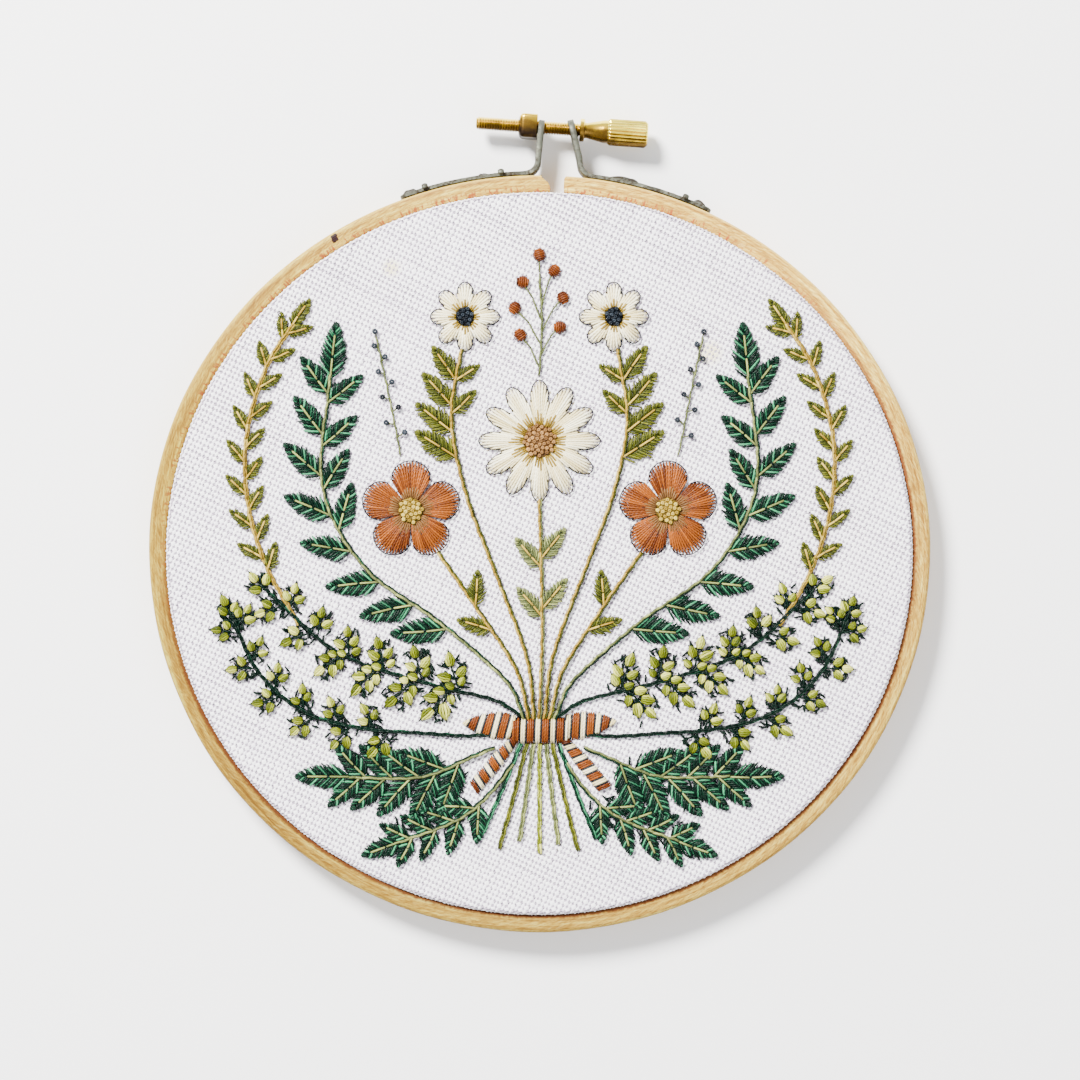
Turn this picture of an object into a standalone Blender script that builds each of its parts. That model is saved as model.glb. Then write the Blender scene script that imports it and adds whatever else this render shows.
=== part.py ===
"""Hoop embroidery art: cloth stretched in a wooden hoop, with raised botanical stitching.

The hoop lies on its back. +Z is the front of the cloth, +Y points to the tightening screw.
Lengths are written in millimetres (MM) and kept in metres. The embroidery's places are millimetres
from the middle of the hoop.
"""

import math

import bmesh
import bpy
from mathutils import Matrix, Vector

MM = 0.001
GAP = 0.3 * MM  # clearance between neighbouring pieces

# Hoop
OUTER_R = 78.0 * MM  # outer ring, half of its width
RING_WIDTH = 3.5 * MM  # radial width of the outer ring
RING_HEIGHT = 8.0 * MM
OVAL = 0.968  # the hoop is this much shorter along Y than along X
EDGE_R = 0.9 * MM  # rounded edges of the wood
INNER_WIDTH = 4.0 * MM  # radial width of the inner ring
TURN_STEPS = 72

# Cloth
CLOTH_THICK = 1.0 * MM
CLOTH_R = OUTER_R - RING_WIDTH - GAP  # outer face of the cloth's skirt
INNER_R = CLOTH_R - CLOTH_THICK - GAP  # outer face of the inner ring
CLOTH_TOP = RING_HEIGHT + GAP + CLOTH_THICK
SKIRT_FOOT = 0.4 * MM  # the trimmed edge of the skirt, above the back of the rings
RIM_R = 1.3 * MM  # how roundly the cloth turns over the inner ring

# Slot in the outer ring
SLOT_LEFT = 2.1 * MM
SLOT_RIGHT = 4.9 * MM
SLOT_CHAMFER = 1.9 * MM  # of its left mouth
SLOT_BREAK = 0.85 * MM  # of its right mouth

# Brackets
STRIP_WIDTH = 5.6 * MM
STRIP_THICK = 0.9 * MM
MID_HEIGHT = RING_HEIGHT / 2
BEND_R = 2.8 * MM
# Each tab: the middle of its top edge, its lean from upright, and how far along X its foot reaches
TABS = {
    "left": (Vector((0.55 * MM, 87.0 * MM)), math.radians(-5.6), -27.6 * MM),
    "right": (Vector((6.15 * MM, 86.9 * MM)), math.radians(12.3), 34.0 * MM),
}

# On the feet: staples across them, at places along X, and lumps pressed into the strip, each with its
# place, its length along the foot and its height
STAPLE_X = {"left": (-22.6, -7.6), "right": (28.8,)}
STAPLE_WIRE_R = 0.38 * MM
STAPLE_SPAN = 7.0 * MM
STAPLE_BEND = 0.6 * MM
LUMPS = {"left": ((-25.9, 2.8, 0.8), (-11.2, 2.6, 0.5)), "right": ((16.9, 6.2, 0.9), (31.9, 2.4, 0.8))}
LUMP_WIDTH = 3.4 * MM

# Screw: its axis runs from the free end of the thread to the face of the head
SCREW_START = Vector((-12.7 * MM, 86.35 * MM))
SCREW_END = Vector((21.7 * MM, 83.95 * MM))
SHANK_R = 1.35 * MM
NECK_R = 1.5 * MM
CONE_R = 2.3 * MM
HOLE_R = 1.7 * MM
NUT_FROM = 8.6 * MM  # along the axis
NUT_LENGTH = 3.7 * MM
NUT_SIDE = 4.8 * MM
NUT_ROUND = 0.77 * MM
COLLAR_FROM = 20.85 * MM
COLLAR_R = 2.3 * MM
HEAD_FROM = 26.3 * MM
HEAD_R = 2.7 * MM
HEAD_EDGE = 0.5 * MM
HEAD_RIDGES = 22
SCREW_STEPS = 20
RIDGE_DEPTH = 0.28 * MM

# Embroidery
# Leaf outline: share of its length, share of its half width
LEAF_SHAPE = ((0.0, 0.0), (0.35, 1.0), (0.74, 0.74), (1.0, 0.0))
PETAL_STEPS = 4
# Rings of a flower head: share of its radius, share of the ridge's height
PETAL_RINGS = ((0.36, 0.6), (0.74, 1.0), (1.0, 0.0))
STITCH_BASE = CLOTH_TOP + GAP
LEAF_THICK = 0.4 * MM
LEAF_RIDGE = 0.25 * MM  # how far a leaf's middle stands above its edges
STEM_R = 0.36 * MM
SPREAD = 1.12  # the posy's places are drawn for a smaller hoop and spread by this

# Colours
BEECH = (0.74, 0.54, 0.30)
BEECH_INNER = (0.70, 0.49, 0.27)
LINEN = (0.86, 0.85, 0.89)
STEEL = (0.36, 0.36, 0.33)
BRASS = (0.72, 0.52, 0.20)
EMERALD = (0.02, 0.16, 0.08)
OLIVE = (0.17, 0.20, 0.04)
LIME = (0.42, 0.46, 0.14)
SAGE = (0.30, 0.38, 0.24)
GOLD = (0.50, 0.36, 0.13)
CREAM = (0.80, 0.74, 0.60)
TERRACOTTA = (0.42, 0.16, 0.07)
NAVY = (0.03, 0.05, 0.11)
TAN = (0.45, 0.25, 0.11)
FLOSS_NAMES = {
    EMERALD: "floss_emerald", OLIVE: "floss_olive", LIME: "floss_lime", SAGE: "floss_sage",
    GOLD: "floss_gold", CREAM: "floss_cream", TERRACOTTA: "floss_terracotta", NAVY: "floss_navy",
    TAN: "floss_tan",
}

# Sprigs: the stem's route on the left side; rows of leaves, each with its side of the stem ("out" is the
# side that faces the hoop), first and last share of the route, number of leaves, first and last length;
# leaf width over length; angle between leaf and stem; length of the leaf at the tip, or 0; colour.
SPRIGS = {
    "tall_spray": dict(
        route=((-3.15, -28.3), (-6, -22.5), (-18, -12), (-31, -2.5), (-38.5, 12), (-37, 32)),
        rows=(("out", 0.27, 0.95, 8, 11.0, 9.0), ("in", 0.62, 0.93, 4, 9.5, 8.5)),
        slim=0.42, angle=44, tip=11.0, colour=EMERALD),
    "flower_stem": dict(
        route=((-2.1, -28.3), (-4.2, -20.5), (-11.5, -9.2), (-17.7, -0.3)),
        rows=(("in", 0.66, 0.66, 1, 7.0, 7.0), ("out", 0.50, 0.50, 1, 7.0, 7.0)),
        slim=0.44, angle=38, tip=0, colour=OLIVE),
    "daisy_spray": dict(
        route=((-1.05, -28.3), (-2.4, -18), (-8.4, -2), (-13.2, 11), (-15.6, 24), (-14.0, 35.3)),
        rows=(("out", 0.72, 0.93, 4, 9.5, 8.0), ("in", 0.84, 0.93, 2, 6.5, 5.5)),
        slim=0.44, angle=46, tip=0, colour=OLIVE),
    "round_spray": dict(
        route=((-4.2, -28.3), (-8, -26.0), (-21, -22.8), (-36, -17.5), (-48, -7)),
        rows=(("out", 0.25, 0.93, 6, 8.0, 5.8), ("in", 0.22, 0.90, 6, 8.0, 5.8)),
        slim=0.76, angle=60, tip=6.2, colour=LIME),
    "low_spray": dict(
        route=((-11.8, -36.0), (-21, -39.6), (-34, -39.6)),
        rows=(("out", 0.12, 0.90, 5, 11.0, 8.5), ("in", 0.24, 0.86, 4, 10.0, 8.5)),
        slim=0.42, angle=44, tip=10.5, colour=EMERALD),
}
MIDDLE_STEM = dict(
    route=((0, -28.3), (0.5, -12), (0, 8.66)),
    rows=(("out", 0.46, 0.70, 2, 7.5, 7.5), ("in", 0.50, 0.74, 2, 7.5, 7.5)),
    slim=0.42, angle=40, tip=0, colour=SAGE)
BERRY_ROUTE = ((0, 31.4), (0.4, 41), (0, 49))
BERRIES = ((-3.4, 38.8), (3.6, 40.2), (-4.4, 43.6), (4.2, 45.4), (-3.0, 48.2), (2.6, 50.2), (0, 53.0))
BERRY_R = 1.35
BERRY_HEIGHT = 1.0

# Flower heads: place, radius, petals, depth of the notches, colour, eye radius, eye colour, eye height
HEADS = {
    "daisy_middle": ((0, 20), 12.0, 12, 0.48, CREAM, 3.6, TAN, 0.9),
    "flower_left": ((-22.8, 7.6), 9.8, 5, 0.34, TERRACOTTA, 2.8, GOLD, 0.8),
    "flower_right": ((22.8, 7.6), 9.8, 5, 0.34, TERRACOTTA, 2.8, GOLD, 0.8),
    "daisy_left": ((-13.2, 42), 6.8, 8, 0.45, CREAM, 2.1, NAVY, 0.7),
    "daisy_right": ((13.2, 42), 6.8, 8, 0.45, CREAM, 2.1, NAVY, 0.7),
}
STEM_END_TOP = -35.2
# Cut stems under the bow: x at the bow, then the free end
STEM_ENDS = (
    (-3.3, -10.5, -50.5), (-2.2, -7.2, -52.6), (-1.1, -3.6, -51.2), (0.0, 0.0, -53.4),
    (1.1, 3.4, -51.8), (2.2, 6.9, -53.0), (3.3, 10.2, -51.0),
)
TIE_Y = -31.4
TIE_HALF_WIDTH = 4.9
TIE_HALF_HEIGHT = 2.5
# Loop and tail on the bow's right side: root, degrees, length and width
BOW_ENDS = ((3.2, -31.0, 6, 11.5, 5.6), (4.2, -32.8, -50, 13.0, 3.0))


def clear_scene():
    for old in list(bpy.data.objects):
        bpy.data.objects.remove(old)


def material(name, colour, roughness, metallic=0.0):
    """One Principled material, made once for each name."""
    found = bpy.data.materials.get(name)
    if found:
        return found
    made = bpy.data.materials.new(name)
    made.use_nodes = True
    shader = made.node_tree.nodes["Principled BSDF"]
    shader.inputs["Base Color"].default_value = (*colour, 1)
    shader.inputs["Roughness"].default_value = roughness
    shader.inputs["Metallic"].default_value = metallic
    return made


def brass():
    return material("brass", BRASS, 0.32, 0.9)


def steel():
    return material("steel", STEEL, 0.5, 0.85)


def floss(colour):
    return material(FLOSS_NAMES[colour], colour, 0.5)


def add_object(name, mesh, collection, finish=None, smooth=True):
    piece = bpy.data.objects.new(name, mesh)
    collection.objects.link(piece)
    piece.parent = HOOP
    if finish:
        mesh.materials.append(finish)
    if smooth:
        mesh.shade_smooth()
        mesh.set_sharp_from_angle(angle=math.radians(35))
    return piece


def mesh_from(name, build):
    """A mesh made by a function that fills a bmesh."""
    shape = bmesh.new()
    build(shape)
    mesh = bpy.data.meshes.new(name)
    shape.to_mesh(mesh)
    shape.free()
    return mesh


def baked(piece):
    """The object's mesh with its modifiers applied, in place of the object."""
    bpy.context.view_layer.update()
    graph = bpy.context.evaluated_depsgraph_get()
    mesh = bpy.data.meshes.new_from_object(piece.evaluated_get(graph))
    if piece.type == "CURVE":
        shape = bmesh.new()
        shape.from_mesh(mesh)
        bmesh.ops.remove_doubles(shape, verts=shape.verts, dist=0.00001)
        bmesh.ops.recalc_face_normals(shape, faces=shape.faces)
        shape.to_mesh(mesh)
        shape.free()
    name = piece.name
    bpy.data.objects.remove(piece)
    mesh.name = name
    return mesh


def combine(piece, other, operation="UNION"):
    """Joins or cuts piece with a second object through a Boolean modifier."""
    step = piece.modifiers.new(operation.lower(), "BOOLEAN")
    step.object = other
    step.operation = operation
    step.solver = "EXACT"
    other.hide_render = True
    other.display_type = "WIRE"
    for collection in list(other.users_collection):
        collection.objects.unlink(other)
    CUTTERS.objects.link(other)


def thicken(piece, thickness, offset=-1, even=False):
    """Gives a skin its thickness, inwards by default, and the same at its bends where even is set."""
    wall = piece.modifiers.new("thickness", "SOLIDIFY")
    wall.thickness = thickness
    wall.offset = offset
    wall.use_even_offset = even


# Hoop and cloth


def arc(cx, cy, radius, start, end, steps):
    """Points on an arc, angles in degrees."""
    angles = [math.radians(start + (end - start) * k / steps) for k in range(steps + 1)]
    return [(cx + radius * math.cos(a), cy + radius * math.sin(a)) for a in angles]


def turned(name, profile, closed, finish):
    """A profile of (radius, height) turned about Z, its outer side running down, then made oval."""

    def build(shape):
        corners = [shape.verts.new((r, 0, z)) for r, z in profile]
        for a, b in zip(corners, corners[1:] + (corners[:1] if closed else [])):
            shape.edges.new((a, b))

    piece = add_object(name, mesh_from(name, build), PARTS, finish, smooth=False)
    turn = piece.modifiers.new("turn", "SCREW")
    turn.steps = turn.render_steps = TURN_STEPS
    turn.use_merge_vertices = True
    turn.merge_threshold = 0.00001
    turn.use_smooth_shade = True
    return piece


def made_oval(piece):
    """Applies the turning, then squeezes the shape along Y to the hoop's oval."""
    name = piece.name
    mesh = baked(piece)
    mesh.transform(Matrix.Diagonal((1, OVAL, 1, 1)))
    return add_object(name, mesh, PARTS)


def ring_profile(inner, outer, height, edge, steps):
    """Rounded rectangle, from the top of its outer side down, round and back."""
    corners = (
        (outer - edge, height - edge, 90, 0),
        (outer - edge, edge, 0, -90),
        (inner + edge, edge, -90, -180),
        (inner + edge, height - edge, 180, 90),
    )
    return [p for x, z, start, end in corners for p in arc(x, z, edge, start, end, steps)]


def outer_ring():
    profile = ring_profile(OUTER_R - RING_WIDTH, OUTER_R, RING_HEIGHT, EDGE_R, 2)
    ring = made_oval(turned("outer_ring", profile, True, material("beech", BEECH, 0.6)))
    combine(ring, slot_cutter(), "DIFFERENCE")


def slot_cutter():
    """The slot at the top of the outer ring: its left mouth is chamfered, its right one less so."""
    low = (OUTER_R - RING_WIDTH * 2) * OVAL
    brim = OUTER_R * OVAL
    beyond = brim + RING_WIDTH
    outline = (
        (SLOT_LEFT, low),
        (SLOT_RIGHT, low),
        (SLOT_RIGHT, brim - SLOT_BREAK),
        (SLOT_RIGHT + SLOT_BREAK, brim + GAP),
        (SLOT_RIGHT + SLOT_BREAK, beyond),
        (SLOT_LEFT - SLOT_CHAMFER, beyond),
        (SLOT_LEFT - SLOT_CHAMFER, brim + GAP),
        (SLOT_LEFT, brim - SLOT_CHAMFER),
    )

    def build(shape):
        floor = [shape.verts.new((x, y, -RING_HEIGHT)) for x, y in outline]
        face = shape.faces.new(floor)
        lifted = bmesh.ops.extrude_face_region(shape, geom=[face])["geom"]
        moved = [v for v in lifted if isinstance(v, bmesh.types.BMVert)]
        bmesh.ops.translate(shape, verts=moved, vec=(0, 0, RING_HEIGHT * 3))
        bmesh.ops.recalc_face_normals(shape, faces=shape.faces)

    return add_object("slot_cutter", mesh_from("slot_cutter", build), CUTTERS, smooth=False)


def inner_ring():
    profile = ring_profile(INNER_R - INNER_WIDTH, INNER_R, RING_HEIGHT, EDGE_R, 1)
    made_oval(turned("inner_ring", profile, True, material("beech_inner", BEECH_INNER, 0.65)))


def cloth():
    """The cloth's front and its skirt, one skin turned about Z and thickened inwards."""
    rim = arc(CLOTH_R - RIM_R, CLOTH_TOP - RIM_R, RIM_R, 90, 0, 3)
    rows = [(0.0, CLOTH_TOP), (CLOTH_R * 0.5, CLOTH_TOP)] + rim + [(CLOTH_R, SKIRT_FOOT)]
    skin = turned("cloth", rows, False, material("linen", LINEN, 0.9))
    thicken(skin, CLOTH_THICK, even=True)
    made_oval(skin)


# Brackets, staples and screw


def rim_point(x, out):
    """A point at x on the upper half of the outer ring's outer face, moved out along its normal."""
    a, b = OUTER_R, OUTER_R * OVAL
    y = b * math.sqrt(1 - (x / a) ** 2)
    normal = Vector((x / a**2, y / b**2)).normalized()
    return Vector((x, y)) + normal * out


def strip(name, path, finish):
    """A bent strip: the path of its middle line, raised to its width and thickened both ways."""

    def build(shape):
        low = MID_HEIGHT - STRIP_WIDTH / 2
        levels = (low, low + STRIP_WIDTH)
        rows = [[shape.verts.new((p.x, p.y, z)) for z in levels] for p in path]
        for (a, b), (c, d) in zip(rows, rows[1:]):
            shape.faces.new((a, c, d, b))

    piece = add_object(name, mesh_from(name, build), PARTS, finish)
    thicken(piece, STRIP_THICK, offset=0, even=True)
    return piece


def fillet(before, corner, after, radius, steps=6):
    """Points on an arc of a radius that rounds the corner between two straight runs."""
    into = (before - corner).normalized()
    out = (after - corner).normalized()
    half = into.angle(out) / 2
    reach = radius / math.tan(half)
    centre = corner + (into + out).normalized() * (radius / math.sin(half))
    first = corner + into * reach - centre
    last = corner + out * reach - centre
    turn = first.angle_signed(last)
    return [centre + Matrix.Rotation(-turn * k / steps, 2) @ first for k in range(steps + 1)]


def lumps(name, rows):
    """The rounded lumps that are pressed out of a foot."""

    def build(shape):
        for x, length, height in rows:
            spot = rim_point(x * MM, GAP + STRIP_THICK)
            along = rim_point((x + 1) * MM, 0) - rim_point((x - 1) * MM, 0)
            turn = Matrix.Rotation(math.atan2(along.y, along.x), 4, "Z")
            size = Matrix.Diagonal((length * MM / 2, height * MM, LUMP_WIDTH / 2, 1))
            move = Matrix.Translation((spot.x, spot.y, MID_HEIGHT))
            bmesh.ops.create_uvsphere(shape, u_segments=12, v_segments=6, radius=1, matrix=move @ turn @ size)

    return add_object(name, mesh_from(name, build), CUTTERS)


def bracket(side, foot_x, top, lean):
    """A foot that follows the ring, a bend and a straight tab, pierced for the screw."""
    name = "bracket_" + side
    out = GAP + STRIP_THICK / 2
    drop = top.y - OUTER_R * OVAL
    corner = rim_point(top.x + drop * math.tan(lean), out)
    way = math.copysign(1, corner.x - foot_x)
    bend_from = corner.x - way * BEND_R * 1.6
    foot = [rim_point(foot_x + (bend_from - foot_x) * k / 12, out) for k in range(13)]
    path = foot + fillet(foot[-1], corner, top, BEND_R) + [top]
    piece = strip(name, path, steel())
    combine(piece, lumps(name + "_lumps", LUMPS[side]))
    combine(piece, hole_cutter(name + "_hole"), "DIFFERENCE")


def screw_place(along):
    """A matrix whose Z runs along the screw, at a distance from the free end of its thread."""
    way = (SCREW_END - SCREW_START).normalized()
    spot = SCREW_START + way * along
    tilt = Vector((way.x, way.y, 0)).to_track_quat("Z", "Y").to_matrix().to_4x4()
    return Matrix.Translation((spot.x, spot.y, MID_HEIGHT)) @ tilt


def hole_cutter(name):
    """A bar along the screw's axis that cuts the room for its shank."""
    length = (SCREW_END - SCREW_START).length

    def build(shape):
        bmesh.ops.create_cone(shape, cap_ends=True, segments=24, radius1=HOLE_R, radius2=HOLE_R, depth=length)

    mesh = mesh_from(name, build)
    mesh.transform(screw_place(length / 2))
    return add_object(name, mesh, CUTTERS)


def nut():
    """A square block, rounded at its free end, with a bore for the screw."""

    def build(shape):
        bmesh.ops.create_cube(shape, size=1)
        bmesh.ops.scale(shape, verts=shape.verts, vec=(NUT_SIDE, NUT_SIDE, NUT_LENGTH))
        free_end = [v for v in shape.verts if v.co.z < 0]
        edges = [e for e in shape.edges if e.verts[0] in free_end or e.verts[1] in free_end]
        bmesh.ops.bevel(shape, geom=edges, offset=NUT_ROUND, segments=2, affect="EDGES", profile=0.5)

    mesh = mesh_from("nut", build)
    mesh.transform(screw_place(NUT_FROM + NUT_LENGTH / 2))
    piece = add_object("nut", mesh, PARTS, brass(), smooth=False)
    combine(piece, hole_cutter("nut_bore"), "DIFFERENCE")


def screw_profile():
    """Radius and distance along the screw, from the free end of the thread to a root inside the head."""
    end = (SCREW_END - SCREW_START).length
    return (
        (0, 0), (SHANK_R - 0.35 * MM, 0), (SHANK_R, 0.4 * MM), (SHANK_R, COLLAR_FROM),
        (COLLAR_R, COLLAR_FROM), (COLLAR_R, COLLAR_FROM + 0.9 * MM), (NECK_R, COLLAR_FROM + 1.2 * MM),
        (CONE_R, HEAD_FROM - 0.6 * MM), (CONE_R, end - 1.5 * MM), (0, end - 1.5 * MM),
    )


def thumbscrew():
    """Shank, collar and cone turned in one, joined to the ridged head."""

    def build(shape):
        corners = [shape.verts.new((r, 0, z)) for r, z in reversed(screw_profile())]
        for a, b in zip(corners, corners[1:]):
            shape.edges.new((a, b))

    bar = add_object("thumbscrew", mesh_from("thumbscrew", build), PARTS, brass())
    turn = bar.modifiers.new("turn", "SCREW")
    turn.steps = turn.render_steps = SCREW_STEPS
    turn.use_merge_vertices = True
    turn.merge_threshold = 0.00001
    bar.matrix_local = screw_place(0)
    combine(bar, knurled_head())


def knurled_head():
    """A drum whose rim alternates between ridge and groove, with both ends chamfered."""
    length = (SCREW_END - SCREW_START).length - HEAD_FROM
    levels = ((0, HEAD_EDGE), (HEAD_EDGE, 0), (length - HEAD_EDGE, 0), (length, HEAD_EDGE))

    def build(shape):
        rings = []
        for z, lower in levels:
            ring = []
            for k in range(HEAD_RIDGES * 2):
                angle = math.pi * k / HEAD_RIDGES
                radius = HEAD_R - lower - (RIDGE_DEPTH if k % 2 else 0)
                ring.append(shape.verts.new((radius * math.cos(angle), radius * math.sin(angle), z)))
            rings.append(ring)
        for low, high in zip(rings, rings[1:]):
            for k in range(len(low)):
                n = (k + 1) % len(low)
                shape.faces.new((low[k], low[n], high[n], high[k]))
        shape.faces.new(list(reversed(rings[0])))
        shape.faces.new(rings[-1])

    head = add_object("knurled_head", mesh_from("knurled_head", build), CUTTERS, smooth=False)
    head.matrix_local = screw_place(HEAD_FROM)
    return head


def staple(name, x):
    """A wire across the foot of a bracket, its two legs reaching down to the wood."""
    over = GAP * 2 + STRIP_THICK + STAPLE_WIRE_R
    under = GAP + STAPLE_WIRE_R
    half = STAPLE_SPAN / 2
    crown, foot = rim_point(x * MM, over), rim_point(x * MM, under)
    shoulder = crown.lerp(foot, 0.4)
    rows = ((foot, -half), (shoulder, -half), (crown, -half + STAPLE_BEND),
            (crown, half - STAPLE_BEND), (shoulder, half), (foot, half))
    path = [(p.x, p.y, MID_HEIGHT + z) for p, z in rows]
    wire = curve_object(name, path, STAPLE_WIRE_R, 1)
    add_object(name, baked(wire), PARTS, steel())


def curve_object(name, path, radius, resolution):
    """A round bar along a list of points."""
    data = bpy.data.curves.new(name, "CURVE")
    data.dimensions = "3D"
    data.bevel_depth = radius
    data.bevel_resolution = resolution
    data.render_resolution_u = 0
    data.use_fill_caps = True
    line = data.splines.new("POLY")
    line.points.add(len(path) - 1)
    for point, co in zip(line.points, path):
        point.co = (*co, 1)
    piece = bpy.data.objects.new(name + "_curve", data)
    PARTS.objects.link(piece)
    return piece


# Embroidery


def smooth_route(points, steps):
    """A Catmull-Rom curve through the points, as steps + 1 points with even shares of each span."""
    rows = [Vector(p) for p in points]
    rows = [rows[0] * 2 - rows[1]] + rows + [rows[-1] * 2 - rows[-2]]
    spans = len(rows) - 3
    found = []
    for k in range(steps + 1):
        span = min(int(k * spans / steps), spans - 1)
        t = k * spans / steps - span
        a, b, c, d = rows[span:span + 4]
        bend = (2 * a - 5 * b + 4 * c - d) * t**2 + (3 * b - a - 3 * c + d) * t**3
        found.append((2 * b + (c - a) * t + bend) / 2)
    return found


def at_share(path, share):
    """The point and direction at a share of the path's length."""
    lengths = [(q - p).length for p, q in zip(path, path[1:])]
    left = share * sum(lengths)
    for p, q, length in zip(path, path[1:], lengths):
        if left <= length:
            return p + (q - p) * (left / length), (q - p).normalized()
        left -= length
    return path[-1], (path[-1] - path[-2]).normalized()


def place(spot):
    """A place of the design, in metres from the middle of the hoop."""
    return Vector(spot) * MM * SPREAD


def stem(name, route, finish):
    path = [place(p) for p in smooth_route(route, 3 * (len(route) - 1))]
    wire = curve_object(name, [(p.x, p.y, STITCH_BASE + STEM_R) for p in path], STEM_R, 1)
    return add_object(name, baked(wire), PARTS, finish), path


def leaf(shape, foot, way, length, width):
    """A leaf's skin: two rows of faces from a raised middle line to its edges."""
    side = Vector((-way.y, way.x))

    def corner(along, across, lift):
        p = foot + way * length * along + side * width / 2 * across
        return shape.verts.new((p.x, p.y, STITCH_BASE + LEAF_THICK + lift))

    middle = [corner(s, 0, LEAF_RIDGE if w else 0) for s, w in LEAF_SHAPE]
    for sign in (1, -1):
        edge = [corner(s, sign * w, 0) for s, w in LEAF_SHAPE[1:-1]]
        rows = [middle[0]] + edge + [middle[-1]]
        for k in range(len(middle) - 1):
            loop = [middle[k], middle[k + 1], rows[k + 1], rows[k]]
            loop = [v for n, v in enumerate(loop) if v not in loop[:n]]
            shape.faces.new(loop if sign > 0 else list(reversed(loop)))


def shells(name, build):
    """Leaf skins thickened downwards, for joining to a stem or to the bow's band."""
    piece = add_object(name, mesh_from(name, build), PARTS, smooth=False)
    thicken(piece, LEAF_THICK)
    return add_object(name, baked(piece), PARTS, smooth=False)


def sprig(name, rule, mirror):
    """A stem with its rows of leaves, joined to one body."""
    route = [(x * mirror, y) for x, y in rule["route"]]
    finish = floss(rule["colour"])
    body, path = stem(name, route, finish)

    def build(shape):
        for side, first, last, count, long, short in rule["rows"]:
            turn = (1 if side == "out" else -1) * mirror * math.radians(rule["angle"])
            for k in range(count):
                part = k / (count - 1) if count > 1 else 0
                foot, way = at_share(path, first + (last - first) * part)
                length = (long + (short - long) * part) * MM
                leaf(shape, foot, Matrix.Rotation(turn, 2) @ way, length, length * rule["slim"])
        if rule["tip"]:
            foot, way = at_share(path, 0.985)
            leaf(shape, foot, way, rule["tip"] * MM, rule["tip"] * MM * rule["slim"])

    combine(body, shells(name + "_leaves", build))


def flower_head(name, spot, radius, petals, notch, colour):
    """A rosette: its rim swings between petal tips and notches, and each petal is crowned."""
    centre = place(spot)
    around = petals * PETAL_STEPS

    def build(shape):
        hub = shape.verts.new((centre.x, centre.y, STITCH_BASE + LEAF_THICK + LEAF_RIDGE * 0.4))
        rows = []
        for share, lift in PETAL_RINGS:
            row = []
            for k in range(around):
                angle = 2 * math.pi * k / around + math.pi / 2
                swing = abs(math.cos(math.pi * k / PETAL_STEPS))
                reach = 1 - notch * share * (1 - swing ** 0.55)
                r = radius * MM * share * reach
                z = STITCH_BASE + LEAF_THICK + LEAF_RIDGE * lift * (0.35 + 0.65 * swing)
                point = (centre.x + r * math.cos(angle), centre.y + r * math.sin(angle), z)
                row.append(shape.verts.new(point))
            rows.append(row)
        for k in range(around):
            shape.faces.new((hub, rows[0][k], rows[0][(k + 1) % around]))
        for near, far in zip(rows, rows[1:]):
            for k in range(around):
                n = (k + 1) % around
                shape.faces.new((near[k], far[k], far[n], near[n]))

    thicken(add_object(name, mesh_from(name, build), PARTS, floss(colour)), LEAF_THICK)


def dome(shape, spot, radius, height, low, sides):
    """A flattened ball standing on a level."""
    size = Matrix.Diagonal((radius, radius, height / 2, 1))
    move = Matrix.Translation((spot.x, spot.y, low + height / 2))
    bmesh.ops.create_uvsphere(shape, u_segments=sides, v_segments=4, radius=1, matrix=move @ size)


def eye(name, spot, radius, height, colour):
    """The raised middle of a flower head, just in front of its petals."""
    low = STITCH_BASE + LEAF_THICK + LEAF_RIDGE + GAP
    mesh = mesh_from(name, lambda shape: dome(shape, place(spot), radius * MM, height * MM, low, 12))
    add_object(name, mesh, PARTS, floss(colour))


def berry_sprig():
    """The sprig over the middle daisy: a stem, its twigs and a round berry at the end of each."""
    body, path = stem("berry_sprig", BERRY_ROUTE, floss(SAGE))
    for k, (x, y) in enumerate(BERRIES):
        spot = place((x, y))
        root, way = at_share(path, 0.08 + 0.12 * k)
        bend = (root + spot) / 2 + way * MM
        twig = curve_object("twig", [(p.x, p.y, STITCH_BASE + STEM_R) for p in (root, bend, spot)],
                            STEM_R * 0.8, 1)
        combine(body, add_object(f"berry_twig_{k}", baked(twig), PARTS, smooth=False))
        size = (BERRY_R * MM, BERRY_HEIGHT * MM)
        ball = mesh_from(f"berry_{k}", lambda shape: dome(shape, spot, *size, STITCH_BASE, 8))
        combine(body, add_object(f"berry_{k}", ball, PARTS, smooth=False))


def bow():
    """The band round the stems with two loops and two tails, joined to one body."""
    middle = place((0, TIE_Y))
    band_width, band_height = TIE_HALF_WIDTH * MM * SPREAD, TIE_HALF_HEIGHT * MM * SPREAD

    def build_band(shape):
        size = Matrix.Diagonal((band_width * 2, band_height * 2, LEAF_THICK * 2, 1))
        move = Matrix.Translation((middle.x, middle.y, STITCH_BASE + LEAF_THICK))
        bmesh.ops.create_cube(shape, size=1, matrix=move @ size)
        bmesh.ops.bevel(shape, geom=shape.edges[:], offset=LEAF_THICK * 0.5, segments=2, affect="EDGES",
                        profile=0.5)

    band = add_object("bow", mesh_from("bow", build_band), PARTS, floss(TERRACOTTA))

    def build_loops(shape):
        for sign in (1, -1):
            for x, y, degrees, length, width in BOW_ENDS:
                way = Vector((sign * math.cos(math.radians(degrees)), math.sin(math.radians(degrees))))
                leaf(shape, place((x * sign, y)), way, length * MM, width * MM)

    combine(band, shells("bow_loops", build_loops))


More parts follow.
